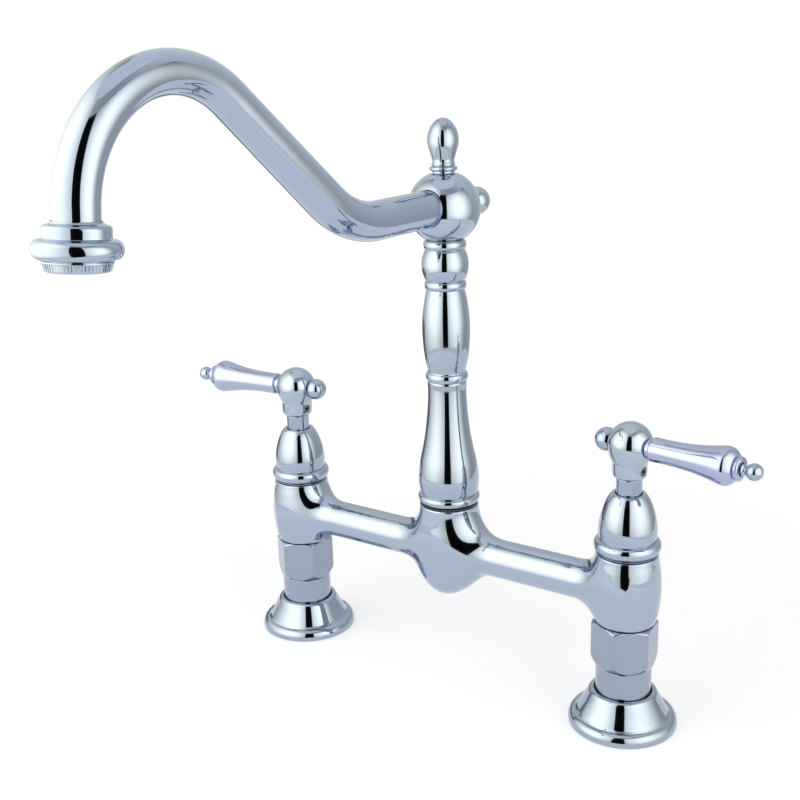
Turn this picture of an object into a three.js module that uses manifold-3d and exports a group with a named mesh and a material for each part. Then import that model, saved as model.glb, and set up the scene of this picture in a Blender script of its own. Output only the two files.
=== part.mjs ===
// Bridge kitchen faucet: two quarter-turn valves joined by a bridge, with a swivelling gooseneck
// spout on a turned column. Millimetres, +Z up. The origin is midway between the valves on the deck
// plane, +X runs along the bridge to the user's right and the spout points to -Y.

import * as THREE from 'three';
import { mergeVertices } from 'three/addons/utils/BufferGeometryUtils.js';
import Module from 'manifold-3d';

const wasm = await Module();
wasm.setup();

// ---------------------------------------------------------------------------------------------
// Driving sizes

const CENTRES = 203.2;             // between the two valve axes: eight inches
const GAP = 0.3;                   // clearance between pieces that touch

// Facets round a turned piece
const SIDES_LARGE = 20;
const SIDES_MEDIUM = 14;
const SIDES_SMALL = 10;

// Deck flange, gasket and the fixing under the deck
const FLANGE_RADIUS = 27.4;
const FLANGE_HEIGHT = 18.3;
const FLANGE_RIM_HEIGHT = 5.6;
const FLANGE_RIM_WIDTH = 3.8;      // from the edge in to the crease where the bell starts
const FLANGE_WAIST_RADIUS = 18.8;  // where the bell stops being hollow
const FLANGE_WAIST_HEIGHT = 12.8;
const FLANGE_SHOULDER = 1.7;       // width of the rounded shoulder at the top
const FLANGE_LIP = 0.8;            // width of the flat lip round the shank
const FLANGE_FOOT = 1.8;           // width of the ring that stands on the deck
const FLANGE_LEDGE = 5.7;          // height of the ledge that carries the shank
const GASKET_THICKNESS = 1.8;
const DECK_THICKNESS = 20;         // sink deck or worktop that the faucet clamps on
const WASHER_RADIUS = 17.5;
const WASHER_THICKNESS = 2;
const LOCK_NUT_FLATS = 28.6;
const LOCK_NUT_HEIGHT = 7;

// Deck shank
const THREAD_RADIUS = 10.5;        // half-inch pipe thread
const THREAD_LENGTH = 46;          // below the deck
const SHANK_RADIUS = 13.9;
const SHANK_SHOW = 14;             // what shows between flange and nut
const WATERWAY_RADIUS = 6.5;
const NECK_RADIUS = 11;
const RING_THICKNESS = 2.4;
const RING_GROOVE = 1.4;           // depth of the retaining ring's groove in the neck
const RING_SPLIT = 4;

// Union nut
const NUT_FLATS = 29.5;
const NUT_HEIGHT = 23;
const NUT_LIP = 3.4;
const NUT_LONG_CHAMFER = 6;
const NUT_SHORT_CHAMFER = 1.5;
const NUT_CHAMFER_INSET = 2.7;     // how far the chamfers cut in at the ends
const UNION_WASHER_THICKNESS = 1.5;
const NUT_TURN = { left: -6, right: 4 };     // degrees, where each nut stopped when tightened

// Bridge casting
const TAIL_RADIUS = 12.5;
const TAIL_LENGTH = 6.6;
const BARREL_RADIUS = 17.1;        // at its widest
const BARREL_FOOT_RADIUS = 14.7;
const BARREL_TOP_RADIUS = 15.1;
const BARREL_HEIGHT = 36;
const NIPPLE_LENGTH = 7.4;         // thread that carries the bonnet
const NIPPLE_RADIUS = 12.6;
const SEAT_HEIGHT = 3.4;           // floor of the valve bore above the barrel's foot
const PORT_RADIUS = 7;
const ARM_RADIUS = 10;
const ARM_RISE = 15.8;             // of the arms' axis above the barrels' foot
const ARM_FLARE_REACH = 15;        // how far from hub or barrel the arm starts to flare
const ARM_FLARE_RISE = 4.4;        // how much it widens
const ARM_WATERWAY_RADIUS = 5.5;
const HUB_RADIUS = 16.5;
const HUB_TOP_RADIUS = 15.6;
const HUB_ABOVE = 25.8;            // from the arms' axis to the hub's top
const HUB_BELOW = 26.6;            // and to its rounded bottom
const HUB_BOTTOM_ROUND = 12.6;
const BELLY_DEPTH = 16.2;          // swelling under the arms where they meet the hub
const BELLY_REACH = 29;            // how far it runs out along each arm
const HUB_SOCKET_BELOW = 11.2;     // socket's floor below the arms' axis

// Valve cartridge
const CARTRIDGE_RADIUS = 10.2;
const CARTRIDGE_CAVITY_RADIUS = 9;
const CARTRIDGE_CAVITY_DEPTH = 16;
const CARTRIDGE_SHOULDER_RADIUS = 12.5;
const CARTRIDGE_SHOULDER = 2.7;
const CARTRIDGE_COLLAR_LENGTH = 4;
const CARTRIDGE_NECK_RADIUS = 6.3;
const CARTRIDGE_NECK_SHOW = 7.9;   // what shows above the bonnet
const WINDOW_WIDTH = 6;
const WINDOW_HEIGHT = 5;
const SEAT_SEAL_THICKNESS = 3.7;
const SEAT_SEAL_WALL = 4.4;
const DISC_RADIUS = 8.5;
const DISC_THICKNESS = 3;
const DISC_PORT_RADIUS = 2.2;
const DISC_PORT_OFFSET = 4.6;
const TONGUE_WIDTH = 3;
const TONGUE_DEPTH = 1;
const STEM_RADIUS = 4;
const STEM_FOOT_RADIUS = 8.2;
const STEM_FOOT_THICKNESS = 3;
const STEM_GRIP = 11.9;            // length of stem inside the handle

// Bonnet
const BONNET_BEAD_RADIUS = 16.2;
const BONNET_BEAD_HEIGHT = 7.2;
const BONNET_RADIUS = 14.1;
const BONNET_HEIGHT = 30.6;
const BONNET_CROWN_RADIUS = 7.8;
const BONNET_BORE_RADIUS = 10.3;
const BONNET_CROWN_THICKNESS = 8;

// Handle
const COLLAR_RADIUS = 8.4;
const KNOB_RADIUS = 10.7;
const KNOB_HEIGHT = 16.3;          // ball centre above the collar's foot
const KNOB_DEPTH = 14.5;           // the ball's lower half is drawn out to this half-height
const LEVER_DROP = 0.3;            // lever axis below the ball centre
const LEVER_TILT = { left: 1.4, right: 0.4 };        // degrees, upwards to its tip
const LEVER_START = 9.9;           // from the valve axis
const LEVER_LENGTH = 46.9;
const LEVER_ROOT_RADIUS = 4.8;
const LEVER_WAIST_RADIUS = 5.7;
const LEVER_BELLY_RADIUS = 9.1;
const LEVER_END_RADIUS = 4.8;
const TIP_RADIUS = 4;
const TIP_NECK_RADIUS = 2.6;
const TIP_STANDOFF = 5.6;          // ball centre past the lever's end
const SPIGOT_RADIUS = 2.8;         // of lever and button, in the ball
const SPIGOT_LENGTH = 5.6;
const BUTTON_RADIUS = 5.85;
const BUTTON_REACH = 13;
const SET_SCREW_RADIUS = 2;
const SET_SCREW_LENGTH = 3.4;
const SET_SCREW_HEIGHT = 4.3;
const LEVER_TURN = { left: 187.5, right: -8.5 };     // degrees from +X at rest
const SET_SCREW_TURN = { left: -10, right: -15 };    // degrees from +X at rest

// Spout column
const TAIL_PLUG_RADIUS = 8.6;
const TAIL_PLUG_LENGTH = 20;
const COLUMN_BORE_RADIUS = 5.2;
const SWIVEL_WASHER_THICKNESS = 0.8;
const O_RING_SECTION = 1.4;
const O_RING_LOWER = 2.2;          // groove floor edge above the plug's end
const O_RING_UPPER = 7.2;
const GRUB_GROOVE = 12.6;
const GRUB_GROOVE_WIDTH = 4.8;
const GRUB_RADIUS = 2;
const BASE_BEAD = { radius: 16.4, height: 4.8 };
const URN = { height: 61.2, foot: 15.2, belly: 16.1, waist: 9.9 };
const LOWER_BEAD = { radius: 10.9, height: 4.8 };
const VASE = { height: 42.6, foot: 9.6, belly: 12.2, waist: 9.7 };
const MIDDLE_BEAD = { radius: 10.6, height: 4.8 };
const BULB = { height: 15.4, foot: 9.9, belly: 11.9 };
const TOP_BEAD = { radius: 10.8, height: 4.9 };
const COLUMN_SPIGOT_RADIUS = 7.9;
const COLUMN_SPIGOT_LENGTH = 5.5;

// Spout ball, finial and rear button
const BALL_RADIUS = 18.1;
const BALL_RISE = 15.4;            // ball centre above the column's shoulder
const FINIAL_STEP = 1;             // recess under the finial's bead
const FINIAL_BASE = { radius: 6.9, height: 2.4 };
const FINIAL_NECK_RADIUS = 5.5;
const FINIAL_EGG_RADIUS = 7.7;
const FINIAL_EGG_HEIGHT = 22.8;
const FINIAL_SPIGOT_LENGTH = 5;
const REAR_BASE = { radius: 5.6, height: 2.2 };
const REAR_NECK_RADIUS = 4.2;
const REAR_BUTTON_RADIUS = 7.2;
const REAR_BUTTON_REACH = 30.5;    // ball centre from the column's axis

// Spout tube: straight root, knee, straight rise, gooseneck arc and a short drop
const TUBE_RADIUS = 9.1;           // at the root; the straight rise tapers
const TUBE_END_RADIUS = 8.4;
const TUBE_WALL = 1.2;
const TUBE_START = 9.2;            // from the column's axis
const TUBE_RISE = 1;               // of the root's axis above the ball centre
const ROOT_LENGTH = 47;
const KNEE_RADIUS = 60;
const KNEE_ANGLE = 38.7;
const RISE_LENGTH = 71.1;
const ARC_RADIUS = 47.5;
const DROP_LENGTH = 9.5;
const OUTLET_TILT = 5.7;           // degrees that the outlet leans forwards from straight down

// Outlet and aerator
const OUTLET_COLLAR_RADIUS = 11.7;
const OUTLET_COLLAR_HEIGHT = 5.2;
const OUTLET_RING_RADIUS = 15.5;
const OUTLET_RING_HEIGHT = 6.9;
const AERATOR_RADIUS = 12.2;
const AERATOR_MOUTH_RADIUS = 11;
const AERATOR_SKIRT = 3.9;
const AERATOR_THREAD_RADIUS = 10.4;
const AERATOR_BORE_RADIUS = 8.4;
const AERATOR_WASHER_THICKNESS = 0.9;
const SCREEN_THICKNESS = 1.5;
const SCREEN_HOLES = 6;
const SCREEN_HOLE_RADIUS = 1.3;

// ---------------------------------------------------------------------------------------------
// Materials

const metal = (color, roughness) => ({ color, roughness, metalness: 1 });
const plain = (color, roughness) => ({ color, roughness, metalness: 0 });
const CHROME = metal(0xc9ced6, 0.06);
const BRASS = metal(0xb99654, 0.35);
const STEEL = metal(0x8f9296, 0.4);
const RUBBER = plain(0x1b1b1c, 0.8);
const NYLON = plain(0x2a2c30, 0.5);
const FIBRE = plain(0x6d3a2c, 0.8);
const CERAMIC = plain(0xe9e6dd, 0.25);

// ---------------------------------------------------------------------------------------------
// Solids

const radians = THREE.MathUtils.degToRad;

// A closed geometry as a solid: shared vertices merged, empty triangles dropped, faces outwards
function solidOf(geometry) {
  const bare = geometry.clone();
  bare.deleteAttribute('normal');
  bare.deleteAttribute('uv');
  const merged = mergeVertices(bare, 1e-4);
  const index = merged.index.array;
  const place = merged.attributes.position;
  const triangles = [];
  const a = new THREE.Vector3();
  const b = new THREE.Vector3();
  const c = new THREE.Vector3();
  let volume = 0;
  for (let i = 0; i < index.length; i += 3) {
    const [p, q, r] = [index[i], index[i + 1], index[i + 2]];
    if (p === q || q === r || r === p) continue;
    triangles.push([p, q, r]);
    volume += a.fromBufferAttribute(place, p).dot(
      b.fromBufferAttribute(place, q).cross(c.fromBufferAttribute(place, r)));
  }
  if (volume < 0) triangles.forEach((triangle) => triangle.reverse());
  return new wasm.Manifold(new wasm.Mesh({
    numProp: 3,
    vertProperties: new Float32Array(place.array),
    triVerts: new Uint32Array(triangles.flat()),
  }));
}

function geometryOf(solid) {
  const { numProp, vertProperties, triVerts } = solid.getMesh();
  const positions = [];
  for (let i = 0; i < vertProperties.length; i += numProp) {
    positions.push(vertProperties[i], vertProperties[i + 1], vertProperties[i + 2]);
  }
  const geometry = new THREE.BufferGeometry();
  geometry.setAttribute('position', new THREE.Float32BufferAttribute(positions, 3));
  geometry.setIndex(Array.from(triVerts));
  const facets = geometry.toNonIndexed();
  facets.computeVertexNormals();
  return facets;
}

const joined = (first, ...others) => others.reduce((whole, other) => whole.add(other), first);
const cut = (first, ...others) => others.reduce((whole, other) => whole.subtract(other), first);

// The radius of a faceted bore whose flats clear a round piece by the gap
const clearing = (radius, sides) => (radius + GAP) / Math.cos(Math.PI / sides);

// A piece turned about Z from the outline that draw() traces as radius and height
function turned(draw, sides, steps = 3) {
  const outline = new THREE.Path();
  draw(outline);
  const points = outline.getPoints(steps);
  const first = points[0];
  const last = points[points.length - 1];
  if (first.distanceTo(last) > 1e-6) points.push(first.clone());
  return solidOf(new THREE.LatheGeometry(points, sides).rotateX(Math.PI / 2));
}

// A plain disc or rod about Z
function rod(radius, low, high, sides) {
  const shape = new THREE.CylinderGeometry(radius, radius, high - low, sides);
  return solidOf(shape.rotateX(Math.PI / 2).translate(0, 0, (low + high) / 2));
}

// A ring about Z, bored from end to end
function ring(outer, inner, low, high, sides) {
  return turned((line) => {
    line.moveTo(inner, low);
    line.lineTo(outer, low);
    line.lineTo(outer, high);
    line.lineTo(inner, high);
    line.lineTo(inner, low);
  }, sides);
}

// A box, centred across X and Y, from one height to another
function block(width, depth, low, high) {
  return solidOf(new THREE.BoxGeometry(width, depth, high - low).translate(0, 0, (low + high) / 2));
}

// A piece made along Z, laid down to point along +X at a height
const alongX = (solid, height = 0) => solid.rotate([0, 90, 0]).translate([0, 0, height]);

// A piece made along Z, laid along the axis of one side's lever
const alongLever = (solid, side) =>
  solid.rotate([0, 90 - LEVER_TILT[side], 0]).translate([0, 0, KNOB_HEIGHT - LEVER_DROP]);

// A half-round bead on an outline that is being drawn upwards
function bead(line, low, { radius, height }, depth = height / 2) {
  line.absellipse(radius - depth, low + height / 2, depth, height / 2, -Math.PI / 2, Math.PI / 2);
}

// A smooth swelling through points given as a radius and a share of the stretch's height
function swelling(line, low, height, points, steps = points.length) {
  const knots = points.map(([radius, share]) => new THREE.Vector2(radius, low + share * height));
  const curve = new THREE.SplineCurve([line.currentPoint.clone(), ...knots]);
  curve.getPoints(steps).slice(1).forEach(({ x, y }) => line.lineTo(x, y));
}

// ---------------------------------------------------------------------------------------------
// Heights above the deck that more than one piece uses

const shankTop = FLANGE_HEIGHT + SHANK_SHOW;
const nutLow = shankTop + GAP;
const nutHigh = nutLow + NUT_HEIGHT;
const ringLow = nutLow + NUT_LIP + GAP;
const barrelLow = nutHigh + GAP;
const tailLow = barrelLow - TAIL_LENGTH;
const neckTop = tailLow - UNION_WASHER_THICKNESS - 2 * GAP;
const armHeight = barrelLow + ARM_RISE;
const hubTop = armHeight + HUB_ABOVE;
const barrelTop = barrelLow + BARREL_HEIGHT;
const nippleTop = barrelTop + NIPPLE_LENGTH;
const seat = barrelLow + SEAT_HEIGHT;
const cartridgeLow = seat + SEAT_SEAL_THICKNESS + 2 * GAP;
const cavityTop = cartridgeLow + CARTRIDGE_CAVITY_DEPTH;
const fixedDiscLow = cartridgeLow + GAP;
const movingDiscLow = fixedDiscLow + DISC_THICKNESS + GAP;
const stemFootLow = movingDiscLow + DISC_THICKNESS + GAP;
const shoulderTop = nippleTop + GAP + CARTRIDGE_SHOULDER;
const bonnetLow = barrelTop + GAP;
const bonnetTop = bonnetLow + BONNET_HEIGHT;
const neckHigh = bonnetTop + CARTRIDGE_NECK_SHOW;
const handleLow = neckHigh + GAP;
const stemTop = handleLow + STEM_GRIP;
const columnLow = hubTop + SWIVEL_WASHER_THICKNESS + 2 * GAP;
const plugLow = columnLow - TAIL_PLUG_LENGTH;
const urnLow = columnLow + BASE_BEAD.height;
const lowerBeadLow = urnLow + URN.height;
const vaseLow = lowerBeadLow + LOWER_BEAD.height;
const middleBeadLow = vaseLow + VASE.height;
const bulbLow = middleBeadLow + MIDDLE_BEAD.height;
const topBeadLow = bulbLow + BULB.height;
const columnTop = topBeadLow + TOP_BEAD.height;
const ballCentre = columnTop + BALL_RISE;
const tubeHeight = ballCentre + TUBE_RISE;

// Bores that two or more pieces share
const valveBore = clearing(CARTRIDGE_RADIUS, SIDES_SMALL);
const hubSocket = clearing(TAIL_PLUG_RADIUS, SIDES_MEDIUM);
const stemBore = clearing(STEM_RADIUS, SIDES_SMALL);
const spigotBore = clearing(SPIGOT_RADIUS, SIDES_SMALL);

// ---------------------------------------------------------------------------------------------
// Deck fixing

function deckFlange() {
  const bore = clearing(SHANK_RADIUS, SIDES_LARGE);
  const foot = FLANGE_RADIUS - 0.3;
  const recess = foot - FLANGE_FOOT;
  const lip = bore + FLANGE_LIP;
  const crease = FLANGE_RADIUS - FLANGE_RIM_WIDTH;
  return turned((line) => {
    line.moveTo(recess, 0);
    line.lineTo(foot, 0);
    line.quadraticCurveTo(FLANGE_RADIUS + 0.7, FLANGE_RIM_HEIGHT * 0.6,
      FLANGE_RADIUS - 2.2, FLANGE_RIM_HEIGHT);
    line.lineTo(crease, FLANGE_RIM_HEIGHT + 1);
    line.quadraticCurveTo(FLANGE_WAIST_RADIUS + 1.4, FLANGE_RIM_HEIGHT + 2.6,
      FLANGE_WAIST_RADIUS, FLANGE_WAIST_HEIGHT);
    line.lineTo(lip + FLANGE_SHOULDER, FLANGE_HEIGHT - 1.4);
    line.quadraticCurveTo(lip + FLANGE_SHOULDER - 0.5, FLANGE_HEIGHT, lip, FLANGE_HEIGHT);
    line.lineTo(bore, FLANGE_HEIGHT);
    line.lineTo(bore, FLANGE_LEDGE);
    line.lineTo(clearing(THREAD_RADIUS, SIDES_LARGE), FLANGE_LEDGE);
    line.lineTo(clearing(THREAD_RADIUS, SIDES_LARGE), GASKET_THICKNESS + GAP);
    line.lineTo(recess, GASKET_THICKNESS + GAP);
  }, SIDES_LARGE, 2);
}

function deckGasket() {
  const outer = FLANGE_RADIUS - 0.3 - FLANGE_FOOT - GAP;
  return ring(outer * Math.cos(Math.PI / SIDES_LARGE), clearing(THREAD_RADIUS, SIDES_MEDIUM) + 1,
    0, GASKET_THICKNESS, SIDES_MEDIUM);
}

function deckShank() {
  const grooveLow = ringLow - GAP;
  const grooveHigh = ringLow + RING_THICKNESS + GAP;
  const grooveRadius = NECK_RADIUS - RING_GROOVE;
  return turned((line) => {
    line.moveTo(WATERWAY_RADIUS, -THREAD_LENGTH);
    line.lineTo(THREAD_RADIUS - 1, -THREAD_LENGTH);
    line.lineTo(THREAD_RADIUS, -THREAD_LENGTH + 1);
    line.lineTo(THREAD_RADIUS, FLANGE_LEDGE + GAP);
    line.lineTo(SHANK_RADIUS, FLANGE_LEDGE + GAP);
    line.lineTo(SHANK_RADIUS, shankTop);
    line.lineTo(NECK_RADIUS, shankTop);
    line.lineTo(NECK_RADIUS, grooveLow);
    line.lineTo(grooveRadius, grooveLow);
    line.lineTo(grooveRadius, grooveHigh);
    line.lineTo(NECK_RADIUS, grooveHigh);
    line.lineTo(NECK_RADIUS, neckTop);
    line.lineTo(WATERWAY_RADIUS, neckTop);
  }, SIDES_LARGE);
}

function deckWasher() {
  const top = -DECK_THICKNESS - GAP;
  return ring(WASHER_RADIUS, clearing(THREAD_RADIUS, SIDES_MEDIUM),
    top - WASHER_THICKNESS, top, SIDES_MEDIUM);
}

// A hexagonal blank whose corners are turned off at both ends
function hexagon(flats, low, high, lowChamfer, highChamfer, inset) {
  const corner = flats / Math.sqrt(3);
  const prism = rod(corner, low, high, 6);
  const blank = turned((line) => {
    line.moveTo(0, low);
    line.lineTo(corner - inset, low);
    line.lineTo(corner, low + lowChamfer);
    line.lineTo(corner, high - highChamfer);
    line.lineTo(corner - inset / 2, high);
    line.lineTo(0, high);
  }, SIDES_LARGE);
  return prism.intersect(blank);
}

function lockNut() {
  const high = -DECK_THICKNESS - WASHER_THICKNESS - 2 * GAP;
  const low = high - LOCK_NUT_HEIGHT;
  return cut(hexagon(LOCK_NUT_FLATS, low, high, 1, 1, 1.2),
    rod(clearing(THREAD_RADIUS, SIDES_MEDIUM), low - 1, high + 1, SIDES_MEDIUM));
}

// ---------------------------------------------------------------------------------------------
// Union between shank and bridge

function unionNut() {
  const bore = clearing(TAIL_RADIUS, SIDES_MEDIUM);
  return cut(
    hexagon(NUT_FLATS, nutLow, nutHigh, NUT_LONG_CHAMFER, NUT_SHORT_CHAMFER, NUT_CHAMFER_INSET),
    rod(clearing(NECK_RADIUS, SIDES_MEDIUM), nutLow - 1, nutHigh + 1, SIDES_MEDIUM),
    rod(bore, nutLow + NUT_LIP, nutHigh + 1, SIDES_MEDIUM));
}

// The split ring snaps into the neck's groove and carries the nut's lip
function unionRing() {
  const whole = ring(TAIL_RADIUS, clearing(NECK_RADIUS - RING_GROOVE, SIDES_SMALL),
    ringLow, ringLow + RING_THICKNESS, SIDES_SMALL);
  const split = block(TAIL_RADIUS * 2, RING_SPLIT, ringLow - 1, ringLow + RING_THICKNESS + 1);
  return cut(whole, split.translate([TAIL_RADIUS, 0, 0]));
}

function unionWasher() {
  const low = neckTop + GAP;
  return ring(TAIL_RADIUS - 1.5, WATERWAY_RADIUS + 0.5, low, low + UNION_WASHER_THICKNESS, SIDES_SMALL);
}

// ---------------------------------------------------------------------------------------------
// Bridge casting

function barrel() {
  return turned((line) => {
    line.moveTo(0, tailLow);
    line.lineTo(TAIL_RADIUS, tailLow);
    line.lineTo(TAIL_RADIUS, barrelLow);
    line.lineTo(BARREL_FOOT_RADIUS, barrelLow);
    swelling(line, barrelLow, BARREL_HEIGHT, [
      [BARREL_RADIUS - 0.9, 0.2], [BARREL_RADIUS, 0.5], [BARREL_RADIUS - 0.9, 0.78],
      [BARREL_TOP_RADIUS, 1],
    ], 6);
    line.lineTo(NIPPLE_RADIUS, barrelTop);
    line.lineTo(NIPPLE_RADIUS, nippleTop);
    line.lineTo(0, nippleTop);
  }, SIDES_LARGE, 2);
}

function barrelBore() {
  return turned((line) => {
    line.moveTo(0, tailLow - 1);
    line.lineTo(PORT_RADIUS, tailLow - 1);
    line.lineTo(PORT_RADIUS, seat);
    line.lineTo(valveBore, seat);
    line.lineTo(valveBore, nippleTop + 1);
    line.lineTo(0, nippleTop + 1);
  }, SIDES_SMALL);
}

function centreHub() {
  const bottom = armHeight - HUB_BELOW;
  const roundCentre = bottom + HUB_BOTTOM_ROUND;
  return turned((line) => {
    line.moveTo(0, bottom);
    line.absarc(0, roundCentre, HUB_BOTTOM_ROUND, -Math.PI / 2, 0);
    swelling(line, roundCentre, hubTop - roundCentre, [
      [HUB_RADIUS - 0.6, 0.3], [HUB_RADIUS, 0.6], [HUB_TOP_RADIUS + 0.1, 0.9], [HUB_TOP_RADIUS, 1],
    ], 6);
    line.lineTo(0, hubTop);
  }, SIDES_LARGE, 2);
}

// Both arms as one bar that flares into the hub and into each barrel
function arms() {
  const half = CENTRES / 2;
  const flareRadius = ARM_RADIUS + ARM_FLARE_RISE;
  const inside = (radius) => Math.sqrt((radius - 0.8) ** 2 - flareRadius ** 2);
  const hubFlare = HUB_RADIUS + ARM_FLARE_REACH;
  const barrelFlare = half - BARREL_RADIUS - ARM_FLARE_REACH;
  const bar = turned((line) => {
    line.moveTo(0, 0);
    line.lineTo(flareRadius, 0);
    line.lineTo(flareRadius, inside(HUB_RADIUS));
    line.quadraticCurveTo(ARM_RADIUS, HUB_RADIUS, ARM_RADIUS, hubFlare);
    line.lineTo(ARM_RADIUS, barrelFlare);
    line.quadraticCurveTo(ARM_RADIUS, half - BARREL_RADIUS, flareRadius, half - inside(BARREL_RADIUS));
    line.lineTo(0, half - inside(BARREL_RADIUS));
  }, SIDES_LARGE, 3);
  const right = alongX(bar, armHeight);
  return joined(right, right.rotate([0, 0, 180]));
}

// A spindle along the arms' underside that spreads the hub's rounded bottom into them
function belly() {
  const half = turned((line) => {
    line.moveTo(0, 0);
    for (let i = 0; i <= 6; i += 1) {
      line.lineTo(BELLY_DEPTH * Math.cos((i * Math.PI) / 12) ** 2, (i * BELLY_REACH) / 6);
    }
  }, SIDES_MEDIUM);
  const right = alongX(half, armHeight - ARM_RADIUS);
  return joined(right, right.rotate([0, 0, 180]));
}

function bridgeBody() {
  const half = CENTRES / 2;
  const waterway = alongX(rod(ARM_WATERWAY_RADIUS, -half, half, SIDES_SMALL), armHeight);
  const socket = rod(hubSocket, armHeight - HUB_SOCKET_BELOW, hubTop + 1, SIDES_MEDIUM);
  const grubHole = rod(clearing(GRUB_RADIUS, SIDES_SMALL), 0, HUB_RADIUS + 1, SIDES_SMALL)
    .rotate([-90, 0, 0])
    .translate([0, 0, grubHeight]);
  const casting = joined(centreHub(), arms(), belly(),
    barrel().translate([-half, 0, 0]), barrel().translate([half, 0, 0]));
  return cut(casting, waterway, socket, grubHole,
    barrelBore().translate([-half, 0, 0]), barrelBore().translate([half, 0, 0]));
}

// ---------------------------------------------------------------------------------------------
// Valve cartridge: a fixed and a moving ceramic disc, turned a quarter by the stem

function seatSeal() {
  const outer = CARTRIDGE_RADIUS - 0.3;
  return ring(outer, outer - SEAT_SEAL_WALL, seat + GAP, seat + GAP + SEAT_SEAL_THICKNESS, SIDES_SMALL);
}

function cartridgeBody() {
  const cavity = clearing(CARTRIDGE_CAVITY_RADIUS - GAP, SIDES_SMALL);
  const whole = turned((line) => {
    line.moveTo(cavity, cartridgeLow);
    line.lineTo(CARTRIDGE_RADIUS, cartridgeLow);
    line.lineTo(CARTRIDGE_RADIUS, nippleTop + GAP);
    line.lineTo(CARTRIDGE_SHOULDER_RADIUS, nippleTop + GAP);
    line.lineTo(CARTRIDGE_SHOULDER_RADIUS, shoulderTop);
    line.lineTo(CARTRIDGE_RADIUS - 0.4, shoulderTop);
    line.lineTo(CARTRIDGE_RADIUS - 0.4, shoulderTop + CARTRIDGE_COLLAR_LENGTH);
    line.lineTo(CARTRIDGE_NECK_RADIUS, shoulderTop + CARTRIDGE_COLLAR_LENGTH);
    line.lineTo(CARTRIDGE_NECK_RADIUS, neckHigh);
    line.lineTo(stemBore, neckHigh);
    line.lineTo(stemBore, cavityTop);
    line.lineTo(cavity, cavityTop);
  }, SIDES_SMALL);
  const low = stemFootLow + 0.5;
  const across = CARTRIDGE_RADIUS * 3;
  return cut(whole, block(across, WINDOW_WIDTH, low, low + WINDOW_HEIGHT),
    block(WINDOW_WIDTH, across, low, low + WINDOW_HEIGHT));
}

function discPorts(low, high) {
  const port = rod(DISC_PORT_RADIUS, low, high, 8);
  return [port.translate([DISC_PORT_OFFSET, 0, 0]), port.translate([-DISC_PORT_OFFSET, 0, 0])];
}

function fixedDisc() {
  const high = fixedDiscLow + DISC_THICKNESS;
  return cut(rod(DISC_RADIUS, fixedDiscLow, high, SIDES_SMALL), ...discPorts(fixedDiscLow - 1, high + 1));
}

function movingDisc() {
  const high = movingDiscLow + DISC_THICKNESS;
  const slot = block(DISC_RADIUS * 3, TONGUE_WIDTH + 2 * GAP, high - TONGUE_DEPTH - GAP, high + 1);
  return cut(rod(DISC_RADIUS, movingDiscLow, high, SIDES_SMALL),
    ...discPorts(movingDiscLow - 1, high + 1).map((port) => port.rotate([0, 0, 90])), slot);
}

function cartridgeStem() {
  const footHigh = stemFootLow + STEM_FOOT_THICKNESS;
  const tongue = block(STEM_FOOT_RADIUS * 1.6, TONGUE_WIDTH, stemFootLow - TONGUE_DEPTH, stemFootLow + 1);
  return joined(rod(STEM_FOOT_RADIUS, stemFootLow, footHigh, SIDES_SMALL),
    rod(STEM_RADIUS, footHigh - 1, stemTop, SIDES_SMALL), tongue);
}

function bonnet() {
  const beadHigh = bonnetLow + BONNET_BEAD_HEIGHT;
  const crownLow = bonnetTop - BONNET_CROWN_THICKNESS;
  return turned((line) => {
    line.moveTo(clearing(NIPPLE_RADIUS, SIDES_LARGE), bonnetLow);
    line.lineTo(BARREL_TOP_RADIUS, bonnetLow);
    bead(line, bonnetLow + 0.6, { radius: BONNET_BEAD_RADIUS, height: BONNET_BEAD_HEIGHT - 0.6 }, 2.2);
    line.lineTo(BONNET_RADIUS - 0.3, beadHigh + 1);
    line.lineTo(BONNET_RADIUS, beadHigh + 2);
    swelling(line, beadHigh + 2, bonnetTop - beadHigh - 2, [
      [BONNET_RADIUS, 0.3], [BONNET_RADIUS - 1.6, 0.62], [BONNET_CROWN_RADIUS + 1.7, 0.88],
      [BONNET_CROWN_RADIUS, 1],
    ]);
    line.lineTo(clearing(CARTRIDGE_NECK_RADIUS, SIDES_LARGE), bonnetTop);
    line.lineTo(clearing(CARTRIDGE_NECK_RADIUS, SIDES_LARGE), crownLow);
    line.lineTo(BONNET_BORE_RADIUS, crownLow);
    line.lineTo(BONNET_BORE_RADIUS, shoulderTop + GAP);
    line.lineTo(clearing(NIPPLE_RADIUS, SIDES_LARGE), shoulderTop + GAP);
  }, SIDES_LARGE, 2);
}

// ---------------------------------------------------------------------------------------------
// Handle, made with its lever along +X and its foot at height zero

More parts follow.
